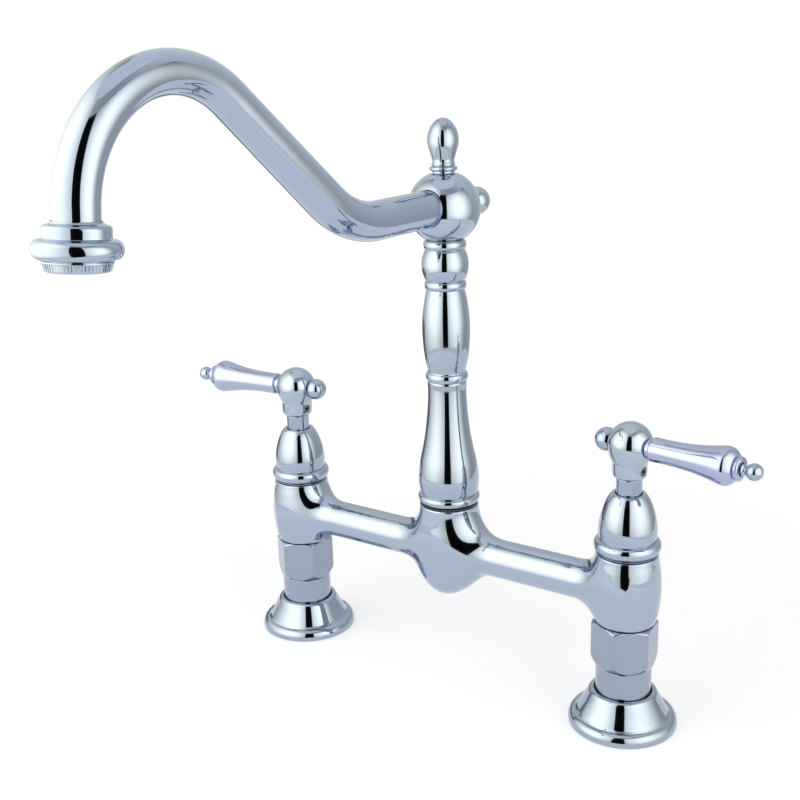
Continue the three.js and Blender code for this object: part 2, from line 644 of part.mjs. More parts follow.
function handleHub(side, screwTurn) {
  const ballStart = -Math.acos(COLLAR_RADIUS / KNOB_RADIUS);
  const body = turned((line) => {
    line.moveTo(0, 0);
    line.lineTo(COLLAR_RADIUS - 0.5, 0);
    line.lineTo(COLLAR_RADIUS, 0.6);
    line.absellipse(0, KNOB_HEIGHT, KNOB_RADIUS, KNOB_DEPTH, ballStart, 0);
    line.absarc(0, KNOB_HEIGHT, KNOB_RADIUS, 0, Math.PI / 2);
  }, SIDES_MEDIUM, 3);
  const stemHole = rod(stemBore, -1, STEM_GRIP + GAP, SIDES_SMALL);
  const faceWidth = LEVER_ROOT_RADIUS + 0.4;
  const leverFace = rod(faceWidth, LEVER_START - GAP, KNOB_RADIUS + 1, SIDES_SMALL);
  const leverHole = rod(spigotBore, LEVER_START - SPIGOT_LENGTH - GAP, KNOB_RADIUS + 1, SIDES_SMALL);
  const facedHole = joined(leverFace, leverHole);
  const screwHole = alongX(rod(clearing(SET_SCREW_RADIUS, SIDES_SMALL), 0, COLLAR_RADIUS + 1, SIDES_SMALL),
    SET_SCREW_HEIGHT);
  return cut(body, stemHole, alongLever(facedHole, side), alongLever(facedHole.rotate([180, 0, 0]), side),
    screwHole.rotate([0, 0, screwTurn]));
}

function lever(side) {
  const end = LEVER_START + LEVER_LENGTH;
  const bar = turned((line) => {
    line.moveTo(0, LEVER_START - SPIGOT_LENGTH);
    line.lineTo(SPIGOT_RADIUS, LEVER_START - SPIGOT_LENGTH);
    line.lineTo(SPIGOT_RADIUS, LEVER_START);
    line.lineTo(LEVER_ROOT_RADIUS, LEVER_START);
    line.lineTo(LEVER_ROOT_RADIUS, LEVER_START + 2.4);
    swelling(line, LEVER_START, LEVER_LENGTH, [
      [LEVER_WAIST_RADIUS, 0.12], [LEVER_WAIST_RADIUS + 0.2, 0.28],
      [LEVER_WAIST_RADIUS + 1.9, 0.66], [LEVER_BELLY_RADIUS, 0.8], [LEVER_BELLY_RADIUS - 1.1, 0.89],
      [LEVER_END_RADIUS + 1, 0.97],
    ], 8);
    line.lineTo(LEVER_END_RADIUS, end);
    line.lineTo(spigotBore, end);
    line.lineTo(spigotBore, end - SPIGOT_LENGTH);
    line.lineTo(0, end - SPIGOT_LENGTH);
  }, SIDES_MEDIUM, 1);
  return alongLever(bar, side);
}

function leverTip(side) {
  const start = LEVER_START + LEVER_LENGTH + GAP;
  const ballStart = -Math.acos(TIP_NECK_RADIUS / TIP_RADIUS);
  const tip = turned((line) => {
    line.moveTo(0, start + GAP - SPIGOT_LENGTH);
    line.lineTo(SPIGOT_RADIUS, start + GAP - SPIGOT_LENGTH);
    line.lineTo(SPIGOT_RADIUS, start);
    line.lineTo(TIP_NECK_RADIUS, start + 0.6);
    line.absarc(0, LEVER_START + LEVER_LENGTH + TIP_STANDOFF, TIP_RADIUS, ballStart, Math.PI / 2);
  }, SIDES_SMALL);
  return alongLever(tip, side);
}

function hubButton(side) {
  const faceRadius = Math.sqrt(BUTTON_RADIUS ** 2 - (BUTTON_REACH - LEVER_START) ** 2);
  const button = turned((line) => {
    line.moveTo(0, LEVER_START - SPIGOT_LENGTH);
    line.lineTo(SPIGOT_RADIUS, LEVER_START - SPIGOT_LENGTH);
    line.lineTo(SPIGOT_RADIUS, LEVER_START);
    line.lineTo(faceRadius, LEVER_START);
    line.absarc(0, BUTTON_REACH, BUTTON_RADIUS, -Math.acos(faceRadius / BUTTON_RADIUS), Math.PI / 2);
  }, SIDES_SMALL, 3);
  return alongLever(button.rotate([180, 0, 0]), side);
}

// A headless screw with a hexagonal socket
function headlessScrew(radius, length) {
  return cut(rod(radius, 0, length, SIDES_SMALL), rod(radius * 0.55, length * 0.45, length + 1, 6));
}

function setScrew(screwTurn) {
  const reach = COLLAR_RADIUS - SET_SCREW_LENGTH - 0.3;
  return alongX(headlessScrew(SET_SCREW_RADIUS, SET_SCREW_LENGTH).translate([0, 0, reach]),
    SET_SCREW_HEIGHT).rotate([0, 0, screwTurn]);
}

// ---------------------------------------------------------------------------------------------
// Spout column and what turns in the hub

// The space between groove and socket takes the ring with the gap on both sides of it
const grooveFloor = TAIL_PLUG_RADIUS - O_RING_SECTION - GAP;
const grubHeight = plugLow + GRUB_GROOVE + GRUB_GROOVE_WIDTH / 2;

function plugGroove(line, low, width) {
  line.lineTo(TAIL_PLUG_RADIUS, low);
  line.lineTo(grooveFloor, low);
  line.lineTo(grooveFloor, low + width);
  line.lineTo(TAIL_PLUG_RADIUS, low + width);
}

function spoutColumn() {
  return turned((line) => {
    line.moveTo(COLUMN_BORE_RADIUS, plugLow);
    line.lineTo(TAIL_PLUG_RADIUS, plugLow);
    plugGroove(line, plugLow + O_RING_LOWER, O_RING_SECTION + 2 * GAP);
    plugGroove(line, plugLow + O_RING_UPPER, O_RING_SECTION + 2 * GAP);
    plugGroove(line, plugLow + GRUB_GROOVE, GRUB_GROOVE_WIDTH);
    line.lineTo(TAIL_PLUG_RADIUS, columnLow);
    bead(line, columnLow, BASE_BEAD, 1.6);
    swelling(line, urnLow, URN.height, [
      [URN.foot, 0.02], [URN.belly, 0.13], [URN.belly - 0.5, 0.23], [URN.belly - 2.5, 0.37],
      [URN.waist + 1.3, 0.6], [URN.waist, 0.86], [URN.waist + 0.2, 0.99],
    ]);
    bead(line, lowerBeadLow, LOWER_BEAD, 1.6);
    swelling(line, vaseLow, VASE.height, [
      [VASE.foot, 0.02], [VASE.belly - 1, 0.2], [VASE.belly, 0.5], [VASE.belly - 1.4, 0.82],
      [VASE.waist, 0.97],
    ]);
    bead(line, middleBeadLow, MIDDLE_BEAD, 1.6);
    swelling(line, bulbLow, BULB.height, [
      [BULB.foot, 0.04], [BULB.belly - 0.4, 0.28], [BULB.belly, 0.5], [BULB.belly - 0.9, 0.74],
      [BULB.foot, 0.95],
    ]);
    bead(line, topBeadLow, TOP_BEAD, 1.6);
    line.lineTo(COLUMN_SPIGOT_RADIUS, columnTop);
    line.lineTo(COLUMN_SPIGOT_RADIUS, columnTop + COLUMN_SPIGOT_LENGTH);
    line.lineTo(COLUMN_BORE_RADIUS, columnTop + COLUMN_SPIGOT_LENGTH);
  }, SIDES_LARGE, 2);
}

function oRing(grooveStart) {
  const half = O_RING_SECTION / 2;
  const centre = clearing(grooveFloor, SIDES_MEDIUM) + half;
  return turned((line) => {
    line.absarc(centre, plugLow + grooveStart + GAP + half, half, 0, 2 * Math.PI);
  }, SIDES_MEDIUM, 3);
}

function swivelWasher() {
  const low = hubTop + GAP;
  return ring(HUB_TOP_RADIUS - 0.1, clearing(TAIL_PLUG_RADIUS, SIDES_MEDIUM),
    low, low + SWIVEL_WASHER_THICKNESS, SIDES_MEDIUM);
}

function spoutGrubScrew() {
  const tip = grooveFloor + GAP;
  return headlessScrew(GRUB_RADIUS, HUB_TOP_RADIUS - 0.6 - tip)
    .translate([0, 0, tip])
    .rotate([-90, 0, 0])
    .translate([0, 0, grubHeight]);
}

// ---------------------------------------------------------------------------------------------
// Spout ball with its finial and rear button

const ballFoot = columnTop + GAP;
const tubeSocket = clearing(TUBE_RADIUS, SIDES_MEDIUM);
const finialSeat = ballCentre + Math.sqrt(BALL_RADIUS ** 2 - FINIAL_BASE.radius ** 2);
const rearSeat = Math.sqrt(BALL_RADIUS ** 2 - REAR_BASE.radius ** 2);

function spoutBall() {
  const footRadius = Math.sqrt(BALL_RADIUS ** 2 - (ballCentre - ballFoot) ** 2);
  const footAngle = -Math.acos(footRadius / BALL_RADIUS);
  const seatAngle = Math.acos(FINIAL_BASE.radius / BALL_RADIUS);
  const ball = turned((line) => {
    line.moveTo(0, ballFoot);
    line.lineTo(footRadius, ballFoot);
    line.absarc(0, ballCentre, BALL_RADIUS, footAngle, seatAngle);
    line.lineTo(0, finialSeat);
  }, SIDES_LARGE, 4);
  const spigotSocket = clearing(COLUMN_SPIGOT_RADIUS, SIDES_MEDIUM);
  const chamber = rod(spigotSocket, ballFoot - 1, ballCentre + COLUMN_SPIGOT_RADIUS, SIDES_MEDIUM);
  const towardsSpout = rod(tubeSocket, TUBE_START - GAP, BALL_RADIUS + 1, SIDES_MEDIUM)
    .rotate([90, 0, 0])
    .translate([0, 0, tubeHeight]);
  const finialHole = rod(spigotBore, finialSeat - FINIAL_SPIGOT_LENGTH - GAP, finialSeat + 2, SIDES_SMALL);
  const towardsBack = joined(
    rod(spigotBore, rearSeat - FINIAL_SPIGOT_LENGTH - GAP, rearSeat + 2, SIDES_SMALL),
    rod(BALL_RADIUS, rearSeat, rearSeat + BALL_RADIUS, SIDES_SMALL))
    .rotate([-90, 0, 0])
    .translate([0, 0, ballCentre]);
  return cut(ball, chamber, towardsSpout, finialHole, towardsBack);
}

function finial() {
  const low = finialSeat + GAP;
  const beadLow = low + FINIAL_STEP;
  const eggLow = beadLow + FINIAL_BASE.height;
  return turned((line) => {
    line.moveTo(0, low - FINIAL_SPIGOT_LENGTH);
    line.lineTo(SPIGOT_RADIUS, low - FINIAL_SPIGOT_LENGTH);
    line.lineTo(SPIGOT_RADIUS, low);
    line.lineTo(FINIAL_NECK_RADIUS, low);
    line.lineTo(FINIAL_NECK_RADIUS, beadLow);
    bead(line, beadLow, FINIAL_BASE);
    line.lineTo(FINIAL_NECK_RADIUS, eggLow);
    swelling(line, eggLow, FINIAL_EGG_HEIGHT, [
      [FINIAL_NECK_RADIUS, 0.08], [FINIAL_EGG_RADIUS - 0.9, 0.33], [FINIAL_EGG_RADIUS, 0.54],
      [FINIAL_EGG_RADIUS - 0.9, 0.74], [FINIAL_EGG_RADIUS * 0.6, 0.9], [FINIAL_EGG_RADIUS * 0.27, 0.985],
      [0, 1],
    ]);
  }, SIDES_SMALL, 1);
}

function rearButton() {
  const start = rearSeat + GAP;
  const ballStart = -Math.acos(REAR_NECK_RADIUS / REAR_BUTTON_RADIUS);
  return turned((line) => {
    line.moveTo(0, start - FINIAL_SPIGOT_LENGTH);
    line.lineTo(SPIGOT_RADIUS, start - FINIAL_SPIGOT_LENGTH);
    line.lineTo(SPIGOT_RADIUS, start);
    bead(line, start, REAR_BASE);
    line.lineTo(REAR_NECK_RADIUS, start + REAR_BASE.height + 0.3);
    line.absarc(0, REAR_BUTTON_REACH, REAR_BUTTON_RADIUS, ballStart, Math.PI / 2);
  }, SIDES_SMALL).rotate([-90, 0, 0]).translate([0, 0, ballCentre]);
}

// ---------------------------------------------------------------------------------------------
// Spout tube

// The tube's centre line in the plane X = 0, as stations that lie close only round the bends. Each
// station is a reach, a height, a slope and the tube's outer radius there
class SpoutLine {
  constructor(radius) {
    this.stations = [];
    this.place = { reach: 0, height: 0, slope: 0, radius };
    this.stations.push({ ...this.place });
  }

  // Runs straight for a length at the present slope, while the radius changes to a new one
  straight(length, radius = this.place.radius) {
    const { reach, height, slope } = this.place;
    this.place = {
      reach: reach + length * Math.cos(slope),
      height: height + length * Math.sin(slope),
      slope,
      radius,
    };
    this.stations.push({ ...this.place });
    return this;
  }

  // Bends upwards by an angle (downwards where it is negative) on a radius
  bend(bendRadius, angle, steps) {
    const turn = angle / steps;
    const chord = 2 * bendRadius * Math.sin(Math.abs(turn) / 2);
    for (let i = 0; i < steps; i += 1) {
      this.place.slope += turn / 2;
      this.straight(chord);
      this.place.slope += turn / 2;
      this.stations[this.stations.length - 1].slope = this.place.slope;
    }
    return this;
  }

  get end() {
    return new THREE.Vector3(0, -this.place.reach, this.place.height);
  }
}

const spoutLine = new SpoutLine(TUBE_RADIUS)
  .straight(ROOT_LENGTH)
  .bend(KNEE_RADIUS, radians(KNEE_ANGLE), 4)
  .straight(RISE_LENGTH, TUBE_END_RADIUS)
  .bend(ARC_RADIUS, radians(OUTLET_TILT - KNEE_ANGLE - 90), 12)
  .straight(DROP_LENGTH);
const spoutEnd = new THREE.Vector3(0, -TUBE_START, tubeHeight).add(spoutLine.end);

// A tube of even wall through the stations, with an outer and an inner ring of points at each
function spoutTube() {
  const sides = SIDES_MEDIUM;
  const last = spoutLine.stations.length - 1;
  const positions = [];
  spoutLine.stations.forEach(({ reach, height, slope, radius }) => {
    [radius, radius - TUBE_WALL].forEach((size) => {
      for (let k = 0; k < sides; k += 1) {
        const across = size * Math.cos((2 * Math.PI * k) / sides);
        const up = size * Math.sin((2 * Math.PI * k) / sides);
        positions.push(across, up * Math.sin(slope) - reach, up * Math.cos(slope) + height);
      }
    });
  });
  const index = [];
  const quad = (a, b, c, d) => index.push(a, b, c, a, c, d);
  const outer = (station, k) => station * 2 * sides + (k % sides);
  const inner = (station, k) => outer(station, k) + sides;
  for (let k = 0; k < sides; k += 1) {
    for (let i = 0; i < last; i += 1) {
      quad(outer(i, k), outer(i, k + 1), outer(i + 1, k + 1), outer(i + 1, k));
      quad(inner(i, k + 1), inner(i, k), inner(i + 1, k), inner(i + 1, k + 1));
    }
    quad(outer(0, k + 1), outer(0, k), inner(0, k), inner(0, k + 1));
    quad(outer(last, k), outer(last, k + 1), inner(last, k + 1), inner(last, k));
  }
  const geometry = new THREE.BufferGeometry();
  geometry.setAttribute('position', new THREE.Float32BufferAttribute(positions, 3));
  geometry.setIndex(index);
  return solidOf(geometry.translate(0, -TUBE_START, tubeHeight));
}

// ---------------------------------------------------------------------------------------------
// Outlet, made about its own axis with height zero at the tube's end

function outletCollar() {
  const bore = clearing(TUBE_END_RADIUS, SIDES_LARGE);
  const thread = clearing(AERATOR_THREAD_RADIUS, SIDES_LARGE);
  return turned((line) => {
    line.moveTo(thread, -OUTLET_RING_HEIGHT);
    line.lineTo(OUTLET_COLLAR_RADIUS, -OUTLET_RING_HEIGHT);
    bead(line, -OUTLET_RING_HEIGHT, { radius: OUTLET_RING_RADIUS, height: OUTLET_RING_HEIGHT });
    line.lineTo(OUTLET_COLLAR_RADIUS, 0);
    line.lineTo(OUTLET_COLLAR_RADIUS, OUTLET_COLLAR_HEIGHT - 1);
    line.quadraticCurveTo(OUTLET_COLLAR_RADIUS, OUTLET_COLLAR_HEIGHT,
      OUTLET_COLLAR_RADIUS - 1.4, OUTLET_COLLAR_HEIGHT);
    line.lineTo(bore, OUTLET_COLLAR_HEIGHT);
    line.lineTo(bore, -GAP);
    line.lineTo(thread, -GAP);
  }, SIDES_LARGE);
}

function aeratorWasher() {
  const high = -2 * GAP;
  return ring(AERATOR_THREAD_RADIUS - 0.2, AERATOR_BORE_RADIUS - 0.9,
    high - AERATOR_WASHER_THICKNESS, high, SIDES_MEDIUM);
}

const aeratorHigh = -3 * GAP - AERATOR_WASHER_THICKNESS;

function aeratorHousing() {
  const skirtHigh = -OUTLET_RING_HEIGHT - GAP;
  const skirtLow = skirtHigh - AERATOR_SKIRT;
  return turned((line) => {
    line.moveTo(AERATOR_BORE_RADIUS, skirtLow);
    line.lineTo(AERATOR_MOUTH_RADIUS - 0.6, skirtLow);
    line.lineTo(AERATOR_MOUTH_RADIUS + 0.3, skirtLow + 0.7);
    line.lineTo(AERATOR_RADIUS, skirtHigh - 0.6);
    line.lineTo(AERATOR_RADIUS - 0.3, skirtHigh);
    line.lineTo(AERATOR_THREAD_RADIUS, skirtHigh);
    line.lineTo(AERATOR_THREAD_RADIUS, aeratorHigh);
    line.lineTo(AERATOR_BORE_RADIUS - 1.5, aeratorHigh);
    line.lineTo(AERATOR_BORE_RADIUS - 1.5, aeratorHigh - 1);
    line.lineTo(AERATOR_BORE_RADIUS, aeratorHigh - 1);
  }, SIDES_LARGE);
}

// The perforated disc that breaks up the stream, up under the housing's inner lip
function aeratorScreen() {
  const high = aeratorHigh - 1 - GAP;
  const low = high - SCREEN_THICKNESS;
  const hole = rod(SCREEN_HOLE_RADIUS, low - 1, high + 1, 8).translate([AERATOR_BORE_RADIUS * 0.6, 0, 0]);
  const holes = Array.from({ length: SCREEN_HOLES }, (_, i) => hole.rotate([0, 0, (360 / SCREEN_HOLES) * i]));
  return cut(rod((AERATOR_BORE_RADIUS - GAP) * Math.cos(Math.PI / SIDES_MEDIUM), low, high, SIDES_MEDIUM),
    ...holes);
}

// ---------------------------------------------------------------------------------------------
// Assembly

function piece(name, solid, look) {
  const mesh = new THREE.Mesh(geometryOf(solid), new THREE.MeshStandardMaterial(look));
  mesh.name = name;
  return mesh;
}

function handle(side) {
  const assembly = new THREE.Group();
  const screwTurn = SET_SCREW_TURN[side] - LEVER_TURN[side];
  assembly.add(
    piece(`${side}_handle_hub`, handleHub(side, screwTurn), CHROME),
    piece(`${side}_lever`, lever(side), CHROME),
    piece(`${side}_lever_tip`, leverTip(side), CHROME),
    piece(`${side}_hub_button`, hubButton(side), CHROME),
    piece(`${side}_set_screw`, setScrew(screwTurn), STEEL),
  );
  assembly.position.z = handleLow;
  assembly.rotation.z = radians(LEVER_TURN[side]);
  return assembly;
}

function valve(side, place) {
  const assembly = new THREE.Group();
  const nut = piece(`${side}_union_nut`, unionNut(), CHROME);
  nut.rotation.z = radians(NUT_TURN[side]);
  assembly.add(
    piece(`${side}_deck_flange`, deckFlange(), CHROME),
    piece(`${side}_deck_gasket`, deckGasket(), RUBBER),
    piece(`${side}_deck_shank`, deckShank(), CHROME),
    piece(`${side}_deck_washer`, deckWasher(), NYLON),
    piece(`${side}_lock_nut`, lockNut(), BRASS),
    nut,
    piece(`${side}_union_ring`, unionRing(), BRASS),
    piece(`${side}_union_washer`, unionWasher(), FIBRE),
    piece(`${side}_seat_seal`, seatSeal(), RUBBER),
    piece(`${side}_cartridge_body`, cartridgeBody(), BRASS),
    piece(`${side}_fixed_disc`, fixedDisc(), CERAMIC),
    piece(`${side}_moving_disc`, movingDisc(), CERAMIC),
    piece(`${side}_cartridge_stem`, cartridgeStem(), BRASS),
    piece(`${side}_bonnet`, bonnet(), CHROME),
    handle(side),
  );
  assembly.position.x = place;
  return assembly;
}

function outlet() {
  const assembly = new THREE.Group();
  assembly.add(
    piece('outlet_collar', outletCollar(), CHROME),
    piece('aerator_washer', aeratorWasher(), RUBBER),
    piece('aerator_housing', aeratorHousing(), CHROME),
    piece('aerator_screen', aeratorScreen(), NYLON),
  );
  assembly.position.copy(spoutEnd);
  assembly.rotation.x = -radians(OUTLET_TILT);
  return assembly;
}

const faucet = new THREE.Group();
faucet.add(
  valve('left', -CENTRES / 2),
  valve('right', CENTRES / 2),
  piece('bridge_body', bridgeBody(), CHROME),
  piece('swivel_washer', swivelWasher(), NYLON),
  piece('spout_grub_screw', spoutGrubScrew(), STEEL),
  piece('spout_column', spoutColumn(), CHROME),
  piece('o_ring_lower', oRing(O_RING_LOWER), RUBBER),
  piece('o_ring_upper', oRing(O_RING_UPPER), RUBBER),
  piece('spout_ball', spoutBall(), CHROME),
  piece('finial', finial(), CHROME),
  piece('rear_button', rearButton(), CHROME),
  piece('spout_tube', spoutTube(), CHROME),
  outlet(),
);

export default faucet;
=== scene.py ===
# A bridge kitchen faucet: two lever valves joined by a bridge, with a swivelling gooseneck spout.
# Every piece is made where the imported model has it, in metres; lengths below are in millimetres.

from math import acos, atan2, cos, pi, radians, sin, sqrt, tan

import bmesh
import bpy
import numpy as np
from mathutils import Matrix


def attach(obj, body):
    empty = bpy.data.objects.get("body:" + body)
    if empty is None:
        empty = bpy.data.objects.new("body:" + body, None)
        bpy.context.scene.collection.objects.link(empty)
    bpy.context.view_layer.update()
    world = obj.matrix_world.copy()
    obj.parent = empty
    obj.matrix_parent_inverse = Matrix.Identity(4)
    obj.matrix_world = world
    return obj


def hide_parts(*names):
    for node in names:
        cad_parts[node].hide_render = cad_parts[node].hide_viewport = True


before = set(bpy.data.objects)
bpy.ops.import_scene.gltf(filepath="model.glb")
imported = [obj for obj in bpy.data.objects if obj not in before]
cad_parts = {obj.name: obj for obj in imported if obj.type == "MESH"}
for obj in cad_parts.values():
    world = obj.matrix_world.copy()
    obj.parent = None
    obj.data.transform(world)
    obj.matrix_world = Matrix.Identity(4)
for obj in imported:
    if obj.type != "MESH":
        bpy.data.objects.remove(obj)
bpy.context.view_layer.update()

# ------------------------------------------------------------
# Camera: a long lens to the right of the spout, about as high as the top of the gooseneck. It
# looks down on the hub.


def added(name, data):
    """A new object in the scene."""
    piece = bpy.data.objects.new(name, data)
    bpy.context.scene.collection.objects.link(piece)
    return piece


def spun(angle, axis):
    """A turn about an axis."""
    return Matrix.Rotation(angle, 4, axis)


view = added("camera", bpy.data.cameras.new("camera"))
bpy.context.scene.camera = view
view.data.sensor_width = 36
view.data.lens = 51.504
view.data.clip_start = 0.02
standing = Matrix.Translation((0.30545, -0.47848, 0.32452))
heading, downward, lean = radians(35.03), radians(16.68), radians(-1.696)
view.matrix_world = (standing @ spun(heading, "Z")
                     @ spun(pi / 2 - downward, "X") @ spun(lean, "Z"))

# ------------------------------------------------------------
# Deck flanges: spun brass cones with a rounded rim, polished and chrome-plated. Each slides down
# the shank and stands on the deck.

VALVE_AT = 101.6
VALVES = {"left": -VALVE_AT, "right": VALVE_AT}
MM = 0.001


def moved(x=0.0, y=0.0, z=0.0):
    """A shift by millimetres."""
    return Matrix.Translation((x * MM, y * MM, z * MM))


def arc(radius, height, across, up, start, end, count=10):
    """Points round an ellipse in the section; degrees run from outward, over the top, inward."""
    turns = np.radians(np.linspace(start, end, count + 1))
    return [(radius + across * cos(t), height + up * sin(t)) for t in turns]


def swell(knots, each=7):
    """A smooth line through knots given as radius and height."""
    knots = np.array(knots, float)
    ends = [2 * knots[0] - knots[1], *knots, 2 * knots[-1] - knots[-2]]
    points = []
    for a, b, c, d in zip(ends, ends[1:], ends[2:], ends[3:]):
        for t in np.linspace(0, 1, each, endpoint=False):
            points.append(0.5 * (2 * b + (c - a) * t + (2 * a - 5 * b + 4 * c - d) * t ** 2
                                 + (3 * b - a - 3 * c + d) * t ** 3))
    return [tuple(p) for p in points] + [tuple(knots[-1])]


def eased(corners, closed=True):
    """The outline with each corner that gives a third number rounded off over that length."""
    count = len(corners)
    points = []
    for i, corner in enumerate(corners):
        here = np.array(corner[:2], float)
        if len(corner) < 3 or (not closed and i in (0, count - 1)):
            points.append(here)
            continue
        before = np.array(corners[i - 1][:2]) - here
        after = np.array(corners[(i + 1) % count][:2]) - here
        reach = min(corner[2], 0.45 * np.hypot(*before), 0.45 * np.hypot(*after))
        before, after = before / np.hypot(*before), after / np.hypot(*after)
        points.append(here + before * reach * 1.12)
        for t in np.linspace(0, 1, 6):
            points.append(here + before * reach * (1 - t) ** 2 + after * reach * t ** 2)
        points.append(here + after * reach * 1.12)
    return [(max(r, 0.0), z) for r, z in points]


def turned(outline, facets=96):
    """A closed mesh turned about Z. The outline runs once round the half section, or from the
    axis up to the axis. A function may give the outline for each angle instead."""
    ring = [2 * pi * k / facets for k in range(facets)]
    sections = [outline(t) if callable(outline) else outline for t in ring]
    count = len(sections[0])
    on_axis = [max(s[i][0] for s in sections) < 1e-6 for i in range(count)]
    vertices, rows = [], []
    for i in range(count):
        if on_axis[i]:
            rows.append([len(vertices)] * facets)
            vertices.append((0, 0, sections[0][i][1] * MM))
            continue
        rows.append([len(vertices) + k for k in range(facets)])
        for t, section in zip(ring, sections):
            r, z = section[i]
            vertices.append((r * cos(t) * MM, r * sin(t) * MM, z * MM))
    spans = list(zip(rows, rows[1:]))
    if not (on_axis[0] and on_axis[-1]):
        spans.append((rows[-1], rows[0]))
    faces = []
    for low, high in spans:
        for k in range(facets):
            m = (k + 1) % facets
            corners = dict.fromkeys((low[k], low[m], high[m], high[k]))
            if len(corners) > 2:
                faces.append(tuple(corners))
    mesh = bpy.data.meshes.new("turned")
    mesh.from_pydata(vertices, [], faces)
    return outward(mesh)


def outward(mesh):
    """Merges doubles and turns the faces of a closed mesh outwards."""
    work = bmesh.new()
    work.from_mesh(mesh)
    bmesh.ops.remove_doubles(work, verts=work.verts, dist=1e-7)
    bmesh.ops.recalc_face_normals(work, faces=work.faces)
    work.to_mesh(mesh)
    work.free()
    return mesh


def fitted(name, mesh, finish, body, slot, *nodes, place=Matrix(), sharp=38):
    """Puts a mesh in place as a finished piece that rides on a body for the nodes it replaces."""
    mesh.name = name
    mesh.transform(place)
    mesh.shade_smooth()
    mesh.set_sharp_from_angle(angle=radians(sharp))
    mesh.materials.clear()
    mesh.materials.append(finish)
    piece = added(name, mesh)
    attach(piece, body)
    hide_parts(*nodes)
    return piece


def placed(nodes, kind, values):
    """A new node with its settings and input values. An underscore stands for a space."""
    node = nodes.new(kind)
    for key, value in values.items():
        if hasattr(node, key):
            setattr(node, key, value)
        else:
            node.inputs[key.replace("_", " ")].default_value = value
    return node


def shader(name):
    """An empty material with its surface shader, and short ways to add nodes and join them."""
    material = bpy.data.materials.new(name)
    material.use_nodes = True
    nodes, links = material.node_tree.nodes, material.node_tree.links
    surface = nodes["Principled BSDF"]

    def add(kind, *joins, **values):
        node = placed(nodes, kind, values)
        for source, target in joins:
            links.new(source, node.inputs[target])
        return node

    place = add("ShaderNodeTexCoord").outputs["Object"]
    return material, surface, add, links.new, place


def given(surface, **values):
    """Sets inputs of the surface. An underscore stands for a space."""
    for key, value in values.items():
        surface.inputs[key.replace("_", " ")].default_value = value


def shaded(add, join, surface, pattern, tint, dark, pale):
    """Colours the surface between two shares of its tint, after a pattern."""
    shade = add("ShaderNodeMix", (pattern.outputs["Fac"], "Factor"), data_type="RGBA")
    for socket, share in (("A", dark), ("B", pale)):
        shade.inputs[socket].default_value = (*[min(c * share, 1) for c in tint], 1)
    join(shade.outputs["Result"], surface.inputs["Base Color"])


def bumped(add, join, surface, pattern, strength, distance):
    """Raises the surface after a pattern."""
    height = (pattern.outputs["Fac"], "Height")
    relief = add("ShaderNodeBump", height, Strength=strength, Distance=distance)
    join(relief.outputs["Normal"], surface.inputs["Normal"])


def polished(name, tint, dull=0.045, ripple=0.012):
    """Mirror chrome: plating a shade darker in soft clouds, with a faint buffing haze and the slight
    ripple that hand polishing leaves. Each tint given is darker and bluer than chrome's own colour: a
    painted reflection of blue-grey surroundings."""
    material, surface, add, join, place = shader(name)
    clouds = add("ShaderNodeTexNoise", (place, "Vector"), Scale=38, Detail=3)
    shaded(add, join, surface, clouds, tint, 0.94, 1.05)
    haze = add("ShaderNodeTexNoise", (place, "Vector"), Scale=420, Detail=4, Roughness=0.6)
    worn = add("ShaderNodeMapRange", (haze.outputs["Fac"], "Value"), From_Min=0.35, From_Max=0.75,
               To_Min=dull, To_Max=dull + 0.035)
    join(worn.outputs["Result"], surface.inputs["Roughness"])
    waves = add("ShaderNodeTexNoise", (place, "Vector"), Scale=130, Detail=1)
    bumped(add, join, surface, waves, ripple, 0.001)
    given(surface, Metallic=1)
    return material


FLANGE = 27.2
flange_outline = eased([
    (14.4, 18.3, 0.3), (15.3, 18.3), (16.2, 17.9), (17.0, 17.0, 0.4), (17.5, 16.1), (22.1, 7.1),
    (22.7, 6.35), (23.3, 6.0), *arc(22.9, 1.3, FLANGE - 22.9, 4.65, 84, -14, 18),
    (26.7, 0.0, 0.2), (25.3, 0.0, 0.2), (25.3, 2.1, 0.2), (11.1, 2.1, 0.2),
    (11.1, 5.7, 0.3), (14.4, 5.7, 0.3),
])
# The chrome tints here and in every polished finish below are darker and bluer than chrome itself: painted
# reflection of blue-grey surroundings.
flange_chrome = polished("flange_chrome", (0.365, 0.43, 0.53))
for side, x in VALVES.items():
    fitted(f"{side}_flange", turned(flange_outline), flange_chrome, "bridge", "chrome",
           f"{side}_deck_flange", place=moved(x))

# ------------------------------------------------------------
# Deck gaskets: flat black rubber rings inside the flanges' feet, squeezed onto the deck.


def moulded(name, colour, rough, grain=900, relief=0.25):
    """Rubber, nylon or fibre: matt, mottled a little, with a fine moulded grain."""
    material, surface, add, join, place = shader(name)
    mottle = add("ShaderNodeTexNoise", (place, "Vector"), Scale=160, Detail=5)
    shaded(add, join, surface, mottle, colour, 0.75, 1.3)
    skin = add("ShaderNodeTexNoise", (place, "Vector"), Scale=grain, Detail=4)
    bumped(add, join, surface, skin, relief, 0.0002)
    given(surface, Roughness=rough)
    return material


def dressed(finish, *names):
    """Gives carried-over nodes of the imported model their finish."""
    for name in names:
        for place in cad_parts[name].material_slots:
            place.material = finish


gasket_rubber = moulded("gasket_rubber", (0.02, 0.02, 0.022), 0.8)
dressed(gasket_rubber, "left_deck_gasket", "right_deck_gasket")

# ------------------------------------------------------------
# Deck shanks: brass tubes, plated where they show, with a pipe thread cut on them below the
# deck. A groove near the top takes the ring that holds the union nut.


